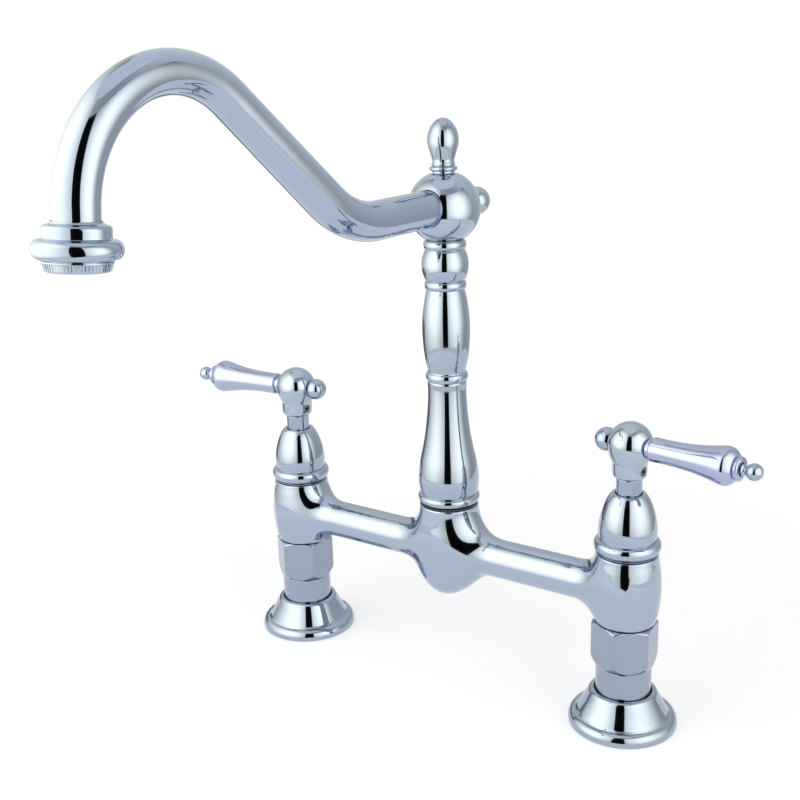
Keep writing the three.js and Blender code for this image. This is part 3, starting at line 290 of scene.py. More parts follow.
def tree(name, sizes):
    """A geometry tree with named inputs for its sizes, and short ways to add nodes, to reckon, to
    join and to close with the material."""
    group = bpy.data.node_groups.new(name, "GeometryNodeTree")
    group.interface.new_socket("Geometry", in_out="INPUT", socket_type="NodeSocketGeometry")
    for label, value in sizes.items():
        kind = {int: "NodeSocketInt", float: "NodeSocketFloat"}.get(type(value), "NodeSocketMaterial")
        group.interface.new_socket(label, in_out="INPUT", socket_type=kind)
    group.interface.new_socket("Geometry", in_out="OUTPUT", socket_type="NodeSocketGeometry")
    start = group.nodes.new("NodeGroupInput").outputs
    end = group.nodes.new("NodeGroupOutput").inputs

    def add(kind, joins=None, **values):
        node = placed(group.nodes, kind, values)
        for target, source in (joins or {}).items():
            group.links.new(source, node.inputs[target])
        return node.outputs[0]

    def sums(kind, *terms):
        node = group.nodes.new("ShaderNodeMath")
        node.operation = kind
        for socket, term in zip(node.inputs, terms):
            if isinstance(term, (int, float)):
                socket.default_value = term
            else:
                group.links.new(term, socket)
        return node.outputs[0]

    def close(geometry):
        whole = add("GeometryNodeRealizeInstances", {"Geometry": geometry})
        plated = add("GeometryNodeSetMaterial", {"Geometry": whole, "Material": start["Finish"]})
        group.links.new(plated, end["Geometry"])

    return group, start, add, sums, group.links.new, close


def baked(piece):
    """The plain mesh that an object's modifiers make of it. The object goes."""
    graph = bpy.context.evaluated_depsgraph_get()
    result = bpy.data.meshes.new_from_object(piece.evaluated_get(graph), depsgraph=graph)
    bpy.data.objects.remove(piece)
    return result


def grown(group, mesh, sizes):
    """The plain mesh that a geometry tree makes of a mesh with these sizes."""
    seed = added("seed", mesh)
    modifier = seed.modifiers.new(group.name, "NODES")
    modifier.node_group = group
    for item in group.interface.items_tree:
        if item.in_out == "INPUT" and item.name in sizes:
            modifier[item.identifier] = sizes[item.name]
    return baked(seed)


shank_chrome = polished("shank_chrome", (0.335, 0.385, 0.475), 0.06)
PITCH = 1.814
THREAD = {"Pitch": PITCH * MM, "Depth": 1.0 * MM, "Low": -45.2 * MM, "High": 3.6 * MM,
          "Bore": 9.0 * MM, "Finish": shank_chrome}
thread_tree, start, add, sums, join, close = tree("pipe thread", THREAD)
spot = add("GeometryNodeInputPosition")
split = add("ShaderNodeSeparateXYZ", {"Vector": spot}).node.outputs
angle = sums("DIVIDE", sums("ARCTAN2", split["Y"], split["X"]), 2 * pi)
climb = sums("SUBTRACT", sums("DIVIDE", split["Z"], start["Pitch"]), angle)
tooth = sums("PINGPONG", climb, 0.5)
cut = sums("MULTIPLY", sums("SUBTRACT", 0.5, tooth), sums("MULTIPLY", start["Depth"], 2.0))
across = add("ShaderNodeCombineXYZ", {"X": split["X"], "Y": split["Y"]})
radius = add("ShaderNodeVectorMath", {0: across}, operation="LENGTH").node.outputs["Value"]
threaded = sums("MULTIPLY", sums("GREATER_THAN", radius, start["Bore"]),
                sums("MULTIPLY", sums("GREATER_THAN", split["Z"], start["Low"]),
                     sums("LESS_THAN", split["Z"], start["High"])))
share = sums("DIVIDE", sums("MULTIPLY", cut, threaded), radius)
inward = sums("MULTIPLY", share, -1.0)
inward = add("ShaderNodeVectorMath", {0: across, "Scale": inward}, operation="SCALE")
close(add("GeometryNodeSetPosition", {"Geometry": start["Geometry"], "Offset": inward}))

SHANK_TOP = 32.3
shank_outline = eased([
    (6.5, -46.0, 0.3), (9.7, -46.0, 0.2), *[(10.5, z) for z in np.arange(-45.4, 3.8, PITCH / 6)],
    (10.5, 6.0), (13.9, 6.0, 0.4), (13.9, SHANK_TOP, 0.35), (11.0, SHANK_TOP, 0.2),
    (11.0, 36.0, 0.2), (9.6, 36.0, 0.1), (9.6, 39.0, 0.1), (11.0, 39.0, 0.2),
    (11.0, 47.2, 0.4), (6.5, 47.2, 0.3),
])
for side, x in VALVES.items():
    shank = grown(thread_tree, turned(shank_outline, 72), THREAD)
    fitted(f"{side}_shank", shank, shank_chrome, "bridge", "chrome_shank", f"{side}_deck_shank",
           place=moved(x))

# ------------------------------------------------------------
# Deck washers and lock nuts: black nylon washers and hexagonal brass nuts, run up the threads
# from under the deck to clamp it.


def machined(name, colour, rough=0.3, rings=700):
    """Bare brass or steel off the lathe: fine turning rings and a little tarnish."""
    material, surface, add, join, place = shader(name)
    tarnish = add("ShaderNodeTexNoise", (place, "Vector"), Scale=70, Detail=6)
    shaded(add, join, surface, tarnish, colour, 0.72, 1.12)
    tool = add("ShaderNodeTexWave", (place, "Vector"), bands_direction="Z", Scale=rings, Distortion=0.6)
    bumped(add, join, surface, tool, 0.12, 0.0001)
    given(surface, Metallic=1, Roughness=rough)
    return material


washer_nylon = moulded("washer_nylon", (0.035, 0.036, 0.04), 0.5)
dressed(washer_nylon, "left_deck_washer", "right_deck_washer")
nut_brass = machined("nut_brass", (0.62, 0.43, 0.17))


def hexagonal(flats, fillet, blank, rows, bore):
    """The section of a hexagonal nut at each angle: a hexagon with filleted corners, turned
    down to the blank's radius wherever that is smaller."""
    half, soft = flats / 2, 0.45

    def section(turn):
        off = abs((turn + pi / 6) % (pi / 3) - pi / 6)
        if half * tan(off) <= (half - fillet) * tan(pi / 6):
            side = half / cos(off)
        else:
            middle = (half - fillet) / cos(pi / 6)
            swing = pi / 6 - off
            side = middle * cos(swing) + sqrt(fillet ** 2 - (middle * sin(swing)) ** 2)
        points = []
        for z in rows:
            round_off = blank(z)
            blend = max(soft - abs(side - round_off), 0) / soft
            points.append((min(side, round_off) - blend ** 2 * soft / 4, z))
        return bore[:1] + points + bore[1:]

    return section


LOCK_LOW, LOCK_HIGH = -29.6, -22.6


def lock_blank(z):
    """Radius of the lock nut's blank, chamfered at both ends."""
    rise = min(z - LOCK_LOW, LOCK_HIGH - z)
    return 16.5 - 1.6 * max(1 - rise / 1.4, 0) ** 1.3


lock_steps = (0, 0.1, 0.3, 0.6, 1.0, 1.4, 1.8)
lock_rows = [LOCK_LOW + d for d in lock_steps] + [LOCK_HIGH - d for d in reversed(lock_steps)]
lock_outline = hexagonal(28.6, 1.0, lock_blank, lock_rows, [(10.9, LOCK_LOW), (10.9, LOCK_HIGH)])
for side, x in VALVES.items():
    fitted(f"{side}_lock_nut_brass", turned(lock_outline, 144), nut_brass, "bridge", "lock_nut_brass",
           f"{side}_lock_nut", place=moved(x), sharp=30)

# ------------------------------------------------------------
# Union nuts: polished hexagonal nuts, turned away to a long chamfer at the foot. Each draws the
# bridge down on its shank, over a split brass ring and a fibre washer.

NUT_LOW, NUT_HIGH = 32.6, 55.6
nut_chrome = polished("nut_chrome", (0.325, 0.38, 0.475), 0.05)


def union_blank(z):
    """Radius of the union nut's blank, with a long chamfer at the foot and a short one on top."""
    foot = max(1 - (z - NUT_LOW) / 6.4, 0)
    head = max(1 - (NUT_HIGH - z) / 1.7, 0)
    return 17.0 - 2.7 * foot ** 1.7 - 1.9 * head ** 1.6


union_rows = [NUT_LOW + d for d in (0, 0.15, 0.4, 0.8, 1.4, 2.0, 2.7, 3.4, 4.1, 4.8, 5.5, 6.2, 7.0, 9.0)]
union_rows += [NUT_HIGH - d for d in (8.0, 3.0, 2.2, 1.8, 1.5, 1.2, 0.9, 0.6, 0.35, 0.15, 0.04, 0)]
union_outline = hexagonal(29.5, 2.2, union_blank, union_rows, [
    (11.3, NUT_LOW), (12.9, NUT_HIGH), (12.9, NUT_LOW + 3.4), (11.3, NUT_LOW + 3.4)])
for side, x in VALVES.items():
    stop = {"left": -6, "right": 4}[side]
    fitted(f"{side}_nut", turned(union_outline, 192), nut_chrome, "bridge", "chrome",
           f"{side}_union_nut", sharp=50,
           place=moved(x) @ spun(radians(stop), "Z"))
ring_brass = machined("ring_brass", (0.64, 0.45, 0.19))
fibre = moulded("pressed_fibre", (0.13, 0.035, 0.02), 0.85, 500, 0.6)
dressed(ring_brass, "left_union_ring", "right_union_ring")
dressed(fibre, "left_union_washer", "right_union_washer")

# ------------------------------------------------------------
# Bridge: one hollow brass casting. Two barrels, a hub with a round belly and the arms between
# them run into each other in wide fillets, polished right through and plated.

ARM_LEVEL, ARM, ARM_BORE = 71.7, 10.0, 5.5
BELLY_REACH, BELLY_DEPTH, BELLY_FADE = 29.0, 14.8, 9.0
HUB_FOOT, HUB_FOOT_LEVEL, HUB_TOP = 13.0, 62.0, 97.5
HUB_BORE, HUB_FLOOR = 8.95, 60.5
BARREL_FOOT, BARREL_TOP, BARREL_BORE, BARREL_FLOOR = 55.9, 91.9, 10.5, 59.3
STUB, STUB_FOOT, STUB_TOP, STUB_BORE = 12.5, 49.3, 99.3, 7.0
GRUB_LEVEL, GRUB_BORE = 93.9, 2.35


def blended(a, b, reach):
    """The smaller of two distances, filleted over the reach."""
    share = np.maximum(reach - np.abs(a - b), 0) / reach
    return np.minimum(a, b) - share ** 2 * reach / 4


def side_of(line, along, level):
    """Distance outside a turned side whose radius follows a line of radius and height."""
    line = np.array(line)
    steep = np.gradient(line[:, 0], line[:, 1])
    radius = np.interp(level, line[:, 1], line[:, 0])
    slope = np.interp(level, line[:, 1], steep)
    return (along - radius) / np.sqrt(1 + slope ** 2)


barrel_line = swell([(14.6, 55.3), (15.3, 58.1), (16.3, 62.8), (17.1, 71.8), (16.9, 79.3),
                     (16.2, 85.3), (15.3, 90.3), (15.0, 92.8)], 8)
hub_line = swell([(HUB_FOOT, HUB_FOOT_LEVEL), (13.5, 64.2), (14.7, 68.3), (15.8, 73.8), (16.5, 81.3),
                  (16.2, 89.3), (15.7, 95.3), (15.5, 98.8)], 8)


def bridge_field(p):
    """Millimetres outside the casting's skin at points of the world."""
    x, y, z = np.abs(p[..., 0]), p[..., 1], p[..., 2]
    on_hub, on_barrel, on_arm = np.hypot(x, y), np.hypot(x - VALVE_AT, y), np.hypot(y, z - ARM_LEVEL)
    arm = np.maximum(on_arm - ARM, x - VALVE_AT)
    away = np.minimum(x / BELLY_REACH, 1)
    depth = BELLY_DEPTH * np.cos(away * pi / 2) ** 2
    belly = np.hypot(y, z - ARM_LEVEL + ARM) - depth + BELLY_FADE * away ** 2
    foot = np.hypot(on_hub, z - HUB_FOOT_LEVEL) - HUB_FOOT
    hub = np.where(z < HUB_FOOT_LEVEL, foot, side_of(hub_line, on_hub, z))
    skin = blended(blended(arm, hub, 16.0), belly * 0.8, 9.0)
    skin = blended(skin, side_of(barrel_line, on_barrel, z), 11.0)
    under_barrel = np.where(x > 75, BARREL_FOOT - z, -20.0)
    ends = np.where(x < 55, z - HUB_TOP, np.maximum(z - BARREL_TOP, under_barrel))
    skin = -blended(-skin, -ends, 0.7)
    skin = np.minimum(skin, np.maximum(on_barrel - STUB, np.maximum(STUB_FOOT - z, z - STUB_TOP)))
    bore = np.minimum(np.maximum(on_barrel - BARREL_BORE, BARREL_FLOOR - z), on_barrel - STUB_BORE)
    bore = np.minimum(bore, np.maximum(on_hub - HUB_BORE, HUB_FLOOR - z))
    bore = np.minimum(bore, np.maximum(on_arm - ARM_BORE, x - VALVE_AT))
    grub = np.maximum(np.hypot(p[..., 0], z - GRUB_LEVEL) - GRUB_BORE, -y)
    return np.maximum(skin, -np.minimum(bore, grub))


def cast(field, low, high, step):
    """A closed mesh of the field's zero level: one point in every cell that it crosses, moved
    onto the level itself. Returns the mesh and the level's own normals."""
    axes = [np.arange(a, b + step, step) for a, b in zip(low, high)]
    inside = field(np.stack(np.meshgrid(*axes, indexing="ij"), -1)) < 0
    n = inside.shape
    filled = sum(inside[i:n[0] - 1 + i, j:n[1] - 1 + j, k:n[2] - 1 + k].astype(int)
                 for i in (0, 1) for j in (0, 1) for k in (0, 1))
    crossed = (filled > 0) & (filled < 8)
    number = np.full(crossed.shape, -1)
    number[crossed] = np.arange(crossed.sum())
    middle = (np.argwhere(crossed) + 0.5) * step + np.array(low)

    def slope(p, e=0.05):
        return np.stack([field(p + d) - field(p - d) for d in np.eye(3) * e], -1) / (2 * e)

    point = middle.copy()
    for _ in range(8):
        g = slope(point)
        point -= 0.8 * g * (field(point) / np.maximum((g * g).sum(-1), 0.2))[:, None]
        point = middle + np.clip(point - middle, -0.95 * step, 0.95 * step)
    faces = []
    for axis in range(3):
        order = (axis, (axis + 1) % 3, (axis + 2) % 3)
        first, cells = inside.transpose(order), number.transpose(order)
        here, there = first[:-1, 1:-1, 1:-1], first[1:, 1:-1, 1:-1]
        quad = np.stack([cells[:, :-1, :-1], cells[:, 1:, :-1], cells[:, 1:, 1:], cells[:, :-1, 1:]], -1)
        faces.append(quad[here & ~there])
        faces.append(quad[~here & there][:, ::-1])
    faces = np.concatenate(faces)
    mesh = bpy.data.meshes.new("cast")
    mesh.from_pydata((point * MM).tolist(), [], faces.tolist())
    normal = slope(point, 0.1)
    return mesh, normal / np.maximum(np.linalg.norm(normal, axis=1), 1e-6)[:, None]


bridge_chrome = polished("bridge_chrome", (0.385, 0.455, 0.56), 0.045)
bridge, bridge_normals = cast(bridge_field, (-122.5, -20.5, 43.0), (122.5, 20.5, 101.0), 0.9)
fitted("bridge_casting", bridge, bridge_chrome, "bridge", "chrome", "bridge_body", sharp=180)
bridge.normals_split_custom_set_from_vertices(bridge_normals.tolist())

# ------------------------------------------------------------
# Valve cartridges: brass bodies on rubber seat seals. Inside, a ceramic disc turns on a fixed
# one, driven by the stem's tongue. Only the plated neck shows, between bonnet and handle.

cartridge_outline = eased([
    (8.9, 63.6, 0.2), (10.2, 63.6, 0.3), (10.2, 99.6, 0.2), (12.5, 99.6, 0.2), (12.5, 102.3, 0.3),
    (9.8, 102.3, 0.2), (9.8, 106.3, 0.3), (6.25, 106.3, 0.3), (6.25, 130.7, 0.45), (4.3, 130.7, 0.2),
    (4.3, 79.6, 0.2), (8.9, 79.6, 0.3),
])


def drilled(mesh, *cutters):
    """The mesh with each cutter's volume taken out."""
    work = added("work", mesh)
    tools = []
    for shape, place in cutters:
        shape.transform(place)
        tool = added("tool", shape)
        step = work.modifiers.new("cut", "BOOLEAN")
        step.operation, step.solver, step.object = "DIFFERENCE", "EXACT", tool
        tools.append(tool)
    result = baked(work)
    for tool in tools:
        bpy.data.objects.remove(tool)
    return result


def drill(radius, low, high, facets=48):
    """A round bar along Z that cuts a hole."""
    return turned([(0, low), (radius, low), (radius, high), (0, high)], facets)


def slot_cutter(width, low, high):
    """A square bar across X, for windows and slots."""
    corner = width / sqrt(2)
    bar = turned([(0, -16), (corner, -16), (corner, 16), (0, 16)], 4)
    bar.transform(spun(pi / 4, "Z"))
    bar.transform(Matrix.Diagonal(((high - low) / width, 1, 1, 1)))
    bar.transform(spun(pi / 2, "Y"))
    bar.transform(moved(z=(low + high) / 2))
    return bar


neck_chrome = polished("neck_chrome", (0.33, 0.395, 0.5), 0.07)
for side, x in VALVES.items():
    windows = [(slot_cutter(6, 71.0, 76.0), spun(turn, "Z")) for turn in (0, pi / 2)]
    fitted(f"{side}_cartridge", drilled(turned(cartridge_outline, 64), *windows), neck_chrome,
           "bridge", "cartridge_brass", f"{side}_cartridge_body", sharp=30,
           place=moved(x))
stem_brass = machined("stem_brass", (0.66, 0.47, 0.21))
seal_rubber = moulded("seal_rubber", (0.018, 0.018, 0.02), 0.7)
disc_ceramic = moulded("disc_ceramic", (0.78, 0.76, 0.70), 0.22, 1500, 0.05)
dressed(stem_brass, "left_cartridge_stem", "right_cartridge_stem")
dressed(seal_rubber, "left_seat_seal", "right_seat_seal")
dressed(disc_ceramic, "left_fixed_disc", "right_fixed_disc", "left_moving_disc", "right_moving_disc")

# ------------------------------------------------------------
# Bonnets: egg-shaped plated caps with a bead round the foot, screwed onto the barrels to hold
# the cartridges down.

bonnet_outline = eased([
    (12.9, 92.2, 0.2), (14.6, 92.2, 0.3), (14.9, 92.8),
    *arc(13.9, 96.2, 2.35, 3.1, -88, 84, 16),
    (14.25, 99.5), (13.9, 99.65),
    *swell([(13.9, 100.0), (14.1, 101.3), (14.2, 103.9), (13.95, 107.3), (13.2, 111.3),
            (12.0, 115.3), (10.6, 118.8), (9.1, 121.4), (8.1, 122.6)], 6),
    (7.8, 122.8), (6.6, 122.8, 0.3), (6.6, 114.8, 0.2), (10.3, 114.8, 0.3),
    (10.3, 102.6, 0.2), (12.9, 102.6, 0.2),
])
bonnet_chrome = polished("bonnet_chrome", (0.375, 0.44, 0.54))
for side, x in VALVES.items():
    fitted(f"{side}_bonnet_cap", turned(bonnet_outline, 112), bonnet_chrome, "bridge", "chrome",
           f"{side}_bonnet", sharp=50, place=moved(x))

# ------------------------------------------------------------
# Handle hubs: a ball turned in one piece with the collar that grips the stem, drilled across
# for the lever and its button, and from the side for the set screw.

HANDLE_FOOT, BALL_UP, BALL, BALL_DEPTH = 131.0, 16.3, 10.7, 14.5
LEVER_DROP = 0.3
LEVER_RISE = {"left": radians(1.4), "right": radians(0.4)}
LEVER_FROM = 9.9
AT_REST = {"left": radians(187.5), "right": radians(-8.5)}
SCREW_AT = {"left": radians(-10), "right": radians(-15)}
SCREW_UP = 4.3
SPIGOT = 5.6


def ball_side(radius, centre, start, end, count, up=None):
    """Points up the side of a ball between two angles; another radius up makes it an egg."""
    return [(radius * cos(t), centre + (up or radius) * sin(t)) for t in np.linspace(start, end, count)]


hub_outline = eased([
    (0, 0), (7.0, 0, 0.2), *arc(6.6, 1.6, 1.6, 1.6, -80, 0, 8), (8.35, 4.0), (8.4, 7.0, 0.25),
    *ball_side(BALL, BALL_UP, -acos(8.45 / BALL), 0, 24, BALL_DEPTH),
    *ball_side(BALL, BALL_UP, 0.06, pi / 2 - 0.02, 28),
    (0, BALL_UP + BALL),
], closed=False)
hub_chrome = polished("hub_chrome", (0.395, 0.47, 0.56))


def handle_place(side):
    """Where a handle's own axes lie: foot on the stem, lever along X."""
    return moved(VALVES[side], z=HANDLE_FOOT) @ spun(AT_REST[side], "Z")


def lever_line(side, turn=0.0):
    """From a piece made along Z to the lever's axis, or to the button's on the other side."""
    return (moved(z=BALL_UP - LEVER_DROP) @ spun(pi / 2 - LEVER_RISE[side], "Y")
            @ spun(turn, "Y"))


def screw_line(side):
    """From a piece made along Z to the set screw's axis."""
    return (moved(z=SCREW_UP) @ spun(SCREW_AT[side] - AT_REST[side], "Z")
            @ spun(pi / 2, "Y"))


for side in VALVES:
    sockets = [(drill(radius, LEVER_FROM - deep, 12), lever_line(side, turn))
               for turn in (0.0, pi) for radius, deep in ((5.15, 0.25), (3.1, 5.9))]
    hub = drilled(turned(hub_outline, 112), (drill(4.3, -1, 12.2), Matrix()), *sockets,
                  (drill(2.25, 3.5, 10), screw_line(side)))
    fitted(f"{side}_hub", hub, hub_chrome, f"{side}_handle", "chrome", f"{side}_handle_hub",
           place=handle_place(side))

# ------------------------------------------------------------
# Levers: turned brass, slender at the root and full near the end, with a paler, bluish plating.
# Each is pressed into its hub by a spigot and takes the tip in its other end.

LEVER_LENGTH = 46.9
lever_outline = eased([
    (0, -SPIGOT), (2.8, -SPIGOT, 0.3), (2.8, 0, 0.1), (4.6, 0, 0.3), (4.8, 1.3), (4.65, 1.7), (4.75, 2.1),
    *arc(5.05, 3.2, 0.85, 1.1, -80, -5, 7),
    *swell([(5.92, 3.6), (5.85, 7.5), (5.85, 12.0), (6.1, 18.0), (6.7, 25.0), (7.75, 31.5), (8.75, 36.4),
            (9.1, 38.8), (8.85, 40.8), (7.7, 42.6), (6.3, 43.8), (5.35, 44.2)], 6),
    *arc(4.75, 45.5, 0.95, 1.25, -75, 80, 12), (4.4, LEVER_LENGTH), (3.1, LEVER_LENGTH, 0.2),
    (3.1, LEVER_LENGTH - SPIGOT), (0, LEVER_LENGTH - SPIGOT),
], closed=False)
lever_outline = [(radius, LEVER_FROM + along) for radius, along in lever_outline]
lever_chrome = polished("lever_chrome", (0.395, 0.443, 0.6), 0.05)
for side in VALVES:
    fitted(f"{side}_lever_bar", turned(lever_outline, 80), lever_chrome, f"{side}_handle", "lever_chrome",
           f"{side}_lever", sharp=55, place=handle_place(side) @ lever_line(side))

# ------------------------------------------------------------
# Lever tips and hub buttons: small turned balls on spigots, pushed into the lever's end and
# into the hub opposite the lever.

LEVER_END = LEVER_FROM + LEVER_LENGTH
TIP, TIP_OUT, BUTTON, BUTTON_OUT = 3.94, LEVER_END + 5.6, 5.85, 13.0
tip_from = LEVER_END + 0.3
tip_outline = eased([
    (0, tip_from - 5.3), (2.8, tip_from - 5.3, 0.3), (2.8, tip_from), (2.9, tip_from + 0.4),
    *swell([(2.6, tip_from + 0.7), (2.2, tip_from + 1.5), (2.25, tip_from + 2.2)], 4)[:-1],
    *ball_side(TIP, TIP_OUT, -acos(2.3 / TIP), pi / 2 - 0.04, 24), (0, TIP_OUT + TIP),
], closed=False)
button_root = sqrt(BUTTON ** 2 - (BUTTON_OUT - LEVER_FROM) ** 2)
button_outline = eased([
    (0, LEVER_FROM - SPIGOT), (2.8, LEVER_FROM - SPIGOT, 0.3), (2.8, LEVER_FROM),
    *ball_side(BUTTON, BUTTON_OUT, -acos(button_root / BUTTON), pi / 2 - 0.04, 30),
    (0, BUTTON_OUT + BUTTON),
], closed=False)
knob_chrome = polished("knob_chrome", (0.35, 0.42, 0.53))
for side in VALVES:
    fitted(f"{side}_tip", turned(tip_outline, 64), knob_chrome, f"{side}_handle", "chrome",
           f"{side}_lever_tip", sharp=50, place=handle_place(side) @ lever_line(side))
    fitted(f"{side}_button", turned(button_outline, 72), knob_chrome, f"{side}_handle", "chrome",
           f"{side}_hub_button", sharp=50, place=handle_place(side) @ lever_line(side, pi))

# ------------------------------------------------------------
# Set screws: headless steel screws with a hexagon socket, sunk in the collars to grip the stem.

screw_steel = machined("screw_steel", (0.22, 0.22, 0.23), 0.4)


def headless(low, high):
    """The outline of a headless screw between two heights."""
    side = [(1.6, low, 0.2), (1.98, low + 0.5), (1.98, high - 0.2), (1.75, high)]
    return eased([(0, low), *side, (0, high)], closed=False)


for side in VALVES:
    screw = drilled(turned(headless(4.7, 8.1), 48), (drill(1.15, 6.2, 9, 6), Matrix()))
    fitted(f"{side}_screw", screw, screw_steel, f"{side}_handle", "screw_steel", f"{side}_set_screw",
           sharp=30, place=handle_place(side) @ screw_line(side))

# ------------------------------------------------------------
# Swivel: a thin nylon washer, two rubber O-rings and a steel grub screw behind the hub let the
# spout turn, keep it tight and stop it lifting out.

dressed(washer_nylon, "swivel_washer")
dressed(seal_rubber, "o_ring_lower", "o_ring_upper")
grub = drilled(turned(headless(0.0, 7.4), 48), (drill(1.1, 3.4, 9, 6), Matrix()))
fitted("grub_screw", grub, screw_steel, "bridge", "screw_steel", "spout_grub_screw", sharp=30,
       place=moved(0, 7.1, GRUB_LEVEL) @ spun(-pi / 2, "X"))

# ------------------------------------------------------------
# Spout column: one brass bar turned like a table leg, with a bead between each two swellings.
# Its grooved tail turns in the hub.


def bead(radius, low, high, proud):
    """A half-round bead between two small fillets."""
    middle, half = (low + high) / 2, (high - low) / 2
    root = radius - proud
    return [(root + 0.02, low), *arc(root, middle, proud, half * 0.94, -84, 84, 14), (root + 0.02, high)]


column_outline = eased([
    (5.2, 78.9, 0.3), (8.6, 78.9, 0.4), (8.6, 81.1), (6.9, 81.1), (6.9, 83.1), (8.6, 83.1),
    (8.6, 86.1), (6.9, 86.1), (6.9, 88.1), (8.6, 88.1), (8.6, 91.5), (6.9, 91.5), (6.9, 96.3),
    (8.6, 96.3), (8.6, 98.9, 0.2), (14.2, 98.9, 0.2),
    *bead(16.3, 99.0, 103.6, 1.6),
    *swell([(14.8, 103.8), (15.3, 104.9), (15.85, 107.7), (16.05, 111.7), (15.75, 115.9),
            (14.9, 121.3), (13.45, 127.8), (12.05, 135.3), (10.9, 143.8), (10.15, 152.3),
            (9.9, 159.3), (10.05, 164.5)], 7),
    *bead(10.9, 164.8, 169.5, 1.15),
    *swell([(9.65, 169.8), (9.9, 171.3), (10.9, 175.9), (11.75, 182.3), (12.2, 190.9), (11.95, 198.3),
            (11.2, 204.7), (10.2, 209.9), (9.65, 212.1)], 7),
    *bead(10.6, 212.4, 216.9, 1.1),
    *swell([(9.9, 217.2), (10.5, 218.3), (11.5, 221.3), (11.9, 224.7), (11.5, 228.3), (10.5, 231.3),
            (9.9, 232.4)], 7),
    *bead(10.8, 232.7, 237.2, 1.1),
    (9.6, 237.4, 0.2), (7.9, 237.4, 0.2), (7.9, 242.9, 0.3), (5.2, 242.9, 0.3),
])
column_chrome = polished("column_chrome", (0.375, 0.44, 0.54))
fitted("column", turned(column_outline, 112), column_chrome, "spout", "chrome", "spout_column", sharp=52)

# ------------------------------------------------------------
# Spout ball: a polished hollow ball that joins column and spout tube, with a finial on top and
# a small button at the back, each on its own spigot.

ORB, ORB_LEVEL, TUBE_LEVEL = 18.1, 252.8, 253.8
ORB_FOOT, ORB_TOP, FINIAL_SEAT = 237.7, 269.53, 6.9
FORWARD = moved(z=TUBE_LEVEL) @ spun(pi / 2, "X")
BACKWARD = moved(z=ORB_LEVEL) @ spun(-pi / 2, "X")
orb_foot = -acos(sqrt(ORB ** 2 - (ORB_LEVEL - ORB_FOOT) ** 2) / ORB)
orb_outline = eased([
    (0, ORB_FOOT), (9.6, ORB_FOOT),
    *ball_side(ORB, ORB_LEVEL, orb_foot + 0.03, acos(FINIAL_SEAT / ORB), 60), (0, ORB_TOP),
], closed=False)
orb = drilled(
    turned(orb_outline, 128),
    (drill(8.2, 236, 260.7), Matrix()),
    (drill(3.1, 264.1, 273), Matrix()),
    (drill(9.35, 8.9, 20, 96), FORWARD),
    (drill(3.1, 12.0, 20), BACKWARD),
    (drill(12.0, 17.21, 24, 96), BACKWARD))
ball_chrome = polished("ball_chrome", (0.4, 0.47, 0.59))
fitted("ball", orb, ball_chrome, "spout", "chrome", "spout_ball")

finial_outline = eased([
    (0, 264.9), (2.8, 264.9, 0.3), (2.8, 269.83, 0.1), (5.5, 269.83, 0.1), (5.5, 270.75, 0.1),
    *bead(6.9, 270.8, 273.1, 1.1),
    *swell([(5.6, 273.3), (5.8, 273.9), (5.65, 274.6), (5.4, 275.2), (5.5, 276.4), (6.1, 278.4),
            (6.85, 280.9), (7.5, 283.4), (7.7, 285.6), (7.5, 287.8), (6.85, 290.0), (5.85, 292.0),
            (4.6, 293.7), (3.2, 295.0), (1.8, 295.75)], 6),
    (0.5, 296.0), (0, 296.0),
], closed=False)
rear_outline = eased([
    (0, 12.5), (2.8, 12.5, 0.3), (2.8, 17.5, 0.1), *bead(5.6, 17.5, 19.6, 1.0), (4.2, 19.9),
    (3.9, 20.8), (3.85, 22.0), (4.0, 24.2),
    *ball_side(7.2, 30.5, -acos(4.4 / 7.2), pi / 2 - 0.04, 30),
    (0, 37.7),
], closed=False)
finial_chrome = polished("finial_chrome", (0.365, 0.43, 0.52))
fitted("finial_egg", turned(finial_outline, 72), finial_chrome, "spout", "chrome", "finial", sharp=52)
fitted("rear_knob", turned(rear_outline, 64), finial_chrome, "spout", "chrome", "rear_button", sharp=52,
       place=BACKWARD)

# ------------------------------------------------------------
# Spout tube: drawn brass tube bent to a knee and a gooseneck, then polished and plated. One
# end is brazed into the ball, the other into the outlet.

tube_chrome = polished("tube_chrome", (0.385, 0.45, 0.565), 0.04, 0.02)
TUBE = {"Root": 47.0 * MM, "Knee radius": 60.0 * MM, "Knee angle": radians(38.7), "Rise": 71.1 * MM,
        "Neck radius": 47.5 * MM, "Neck angle": radians(123.0), "Drop": 9.5 * MM,
        "Root radius": 9.1 * MM, "End radius": 8.14 * MM, "Finish": tube_chrome}
STATIONS = 260
tube_tree, start, add, sums, join, close = tree("spout tube", TUBE)
steps = add("GeometryNodeMeshLine", None, Count=STATIONS)


def stretch(run, lengths, index):
    """Length of one stretch that lies behind a point, from the length run so far."""
    before = 0.0
    for length in lengths[:index]:
        before = sums("ADD", before, length)
    return sums("MINIMUM", sums("MAXIMUM", sums("SUBTRACT", run, before), 0.0), lengths[index])


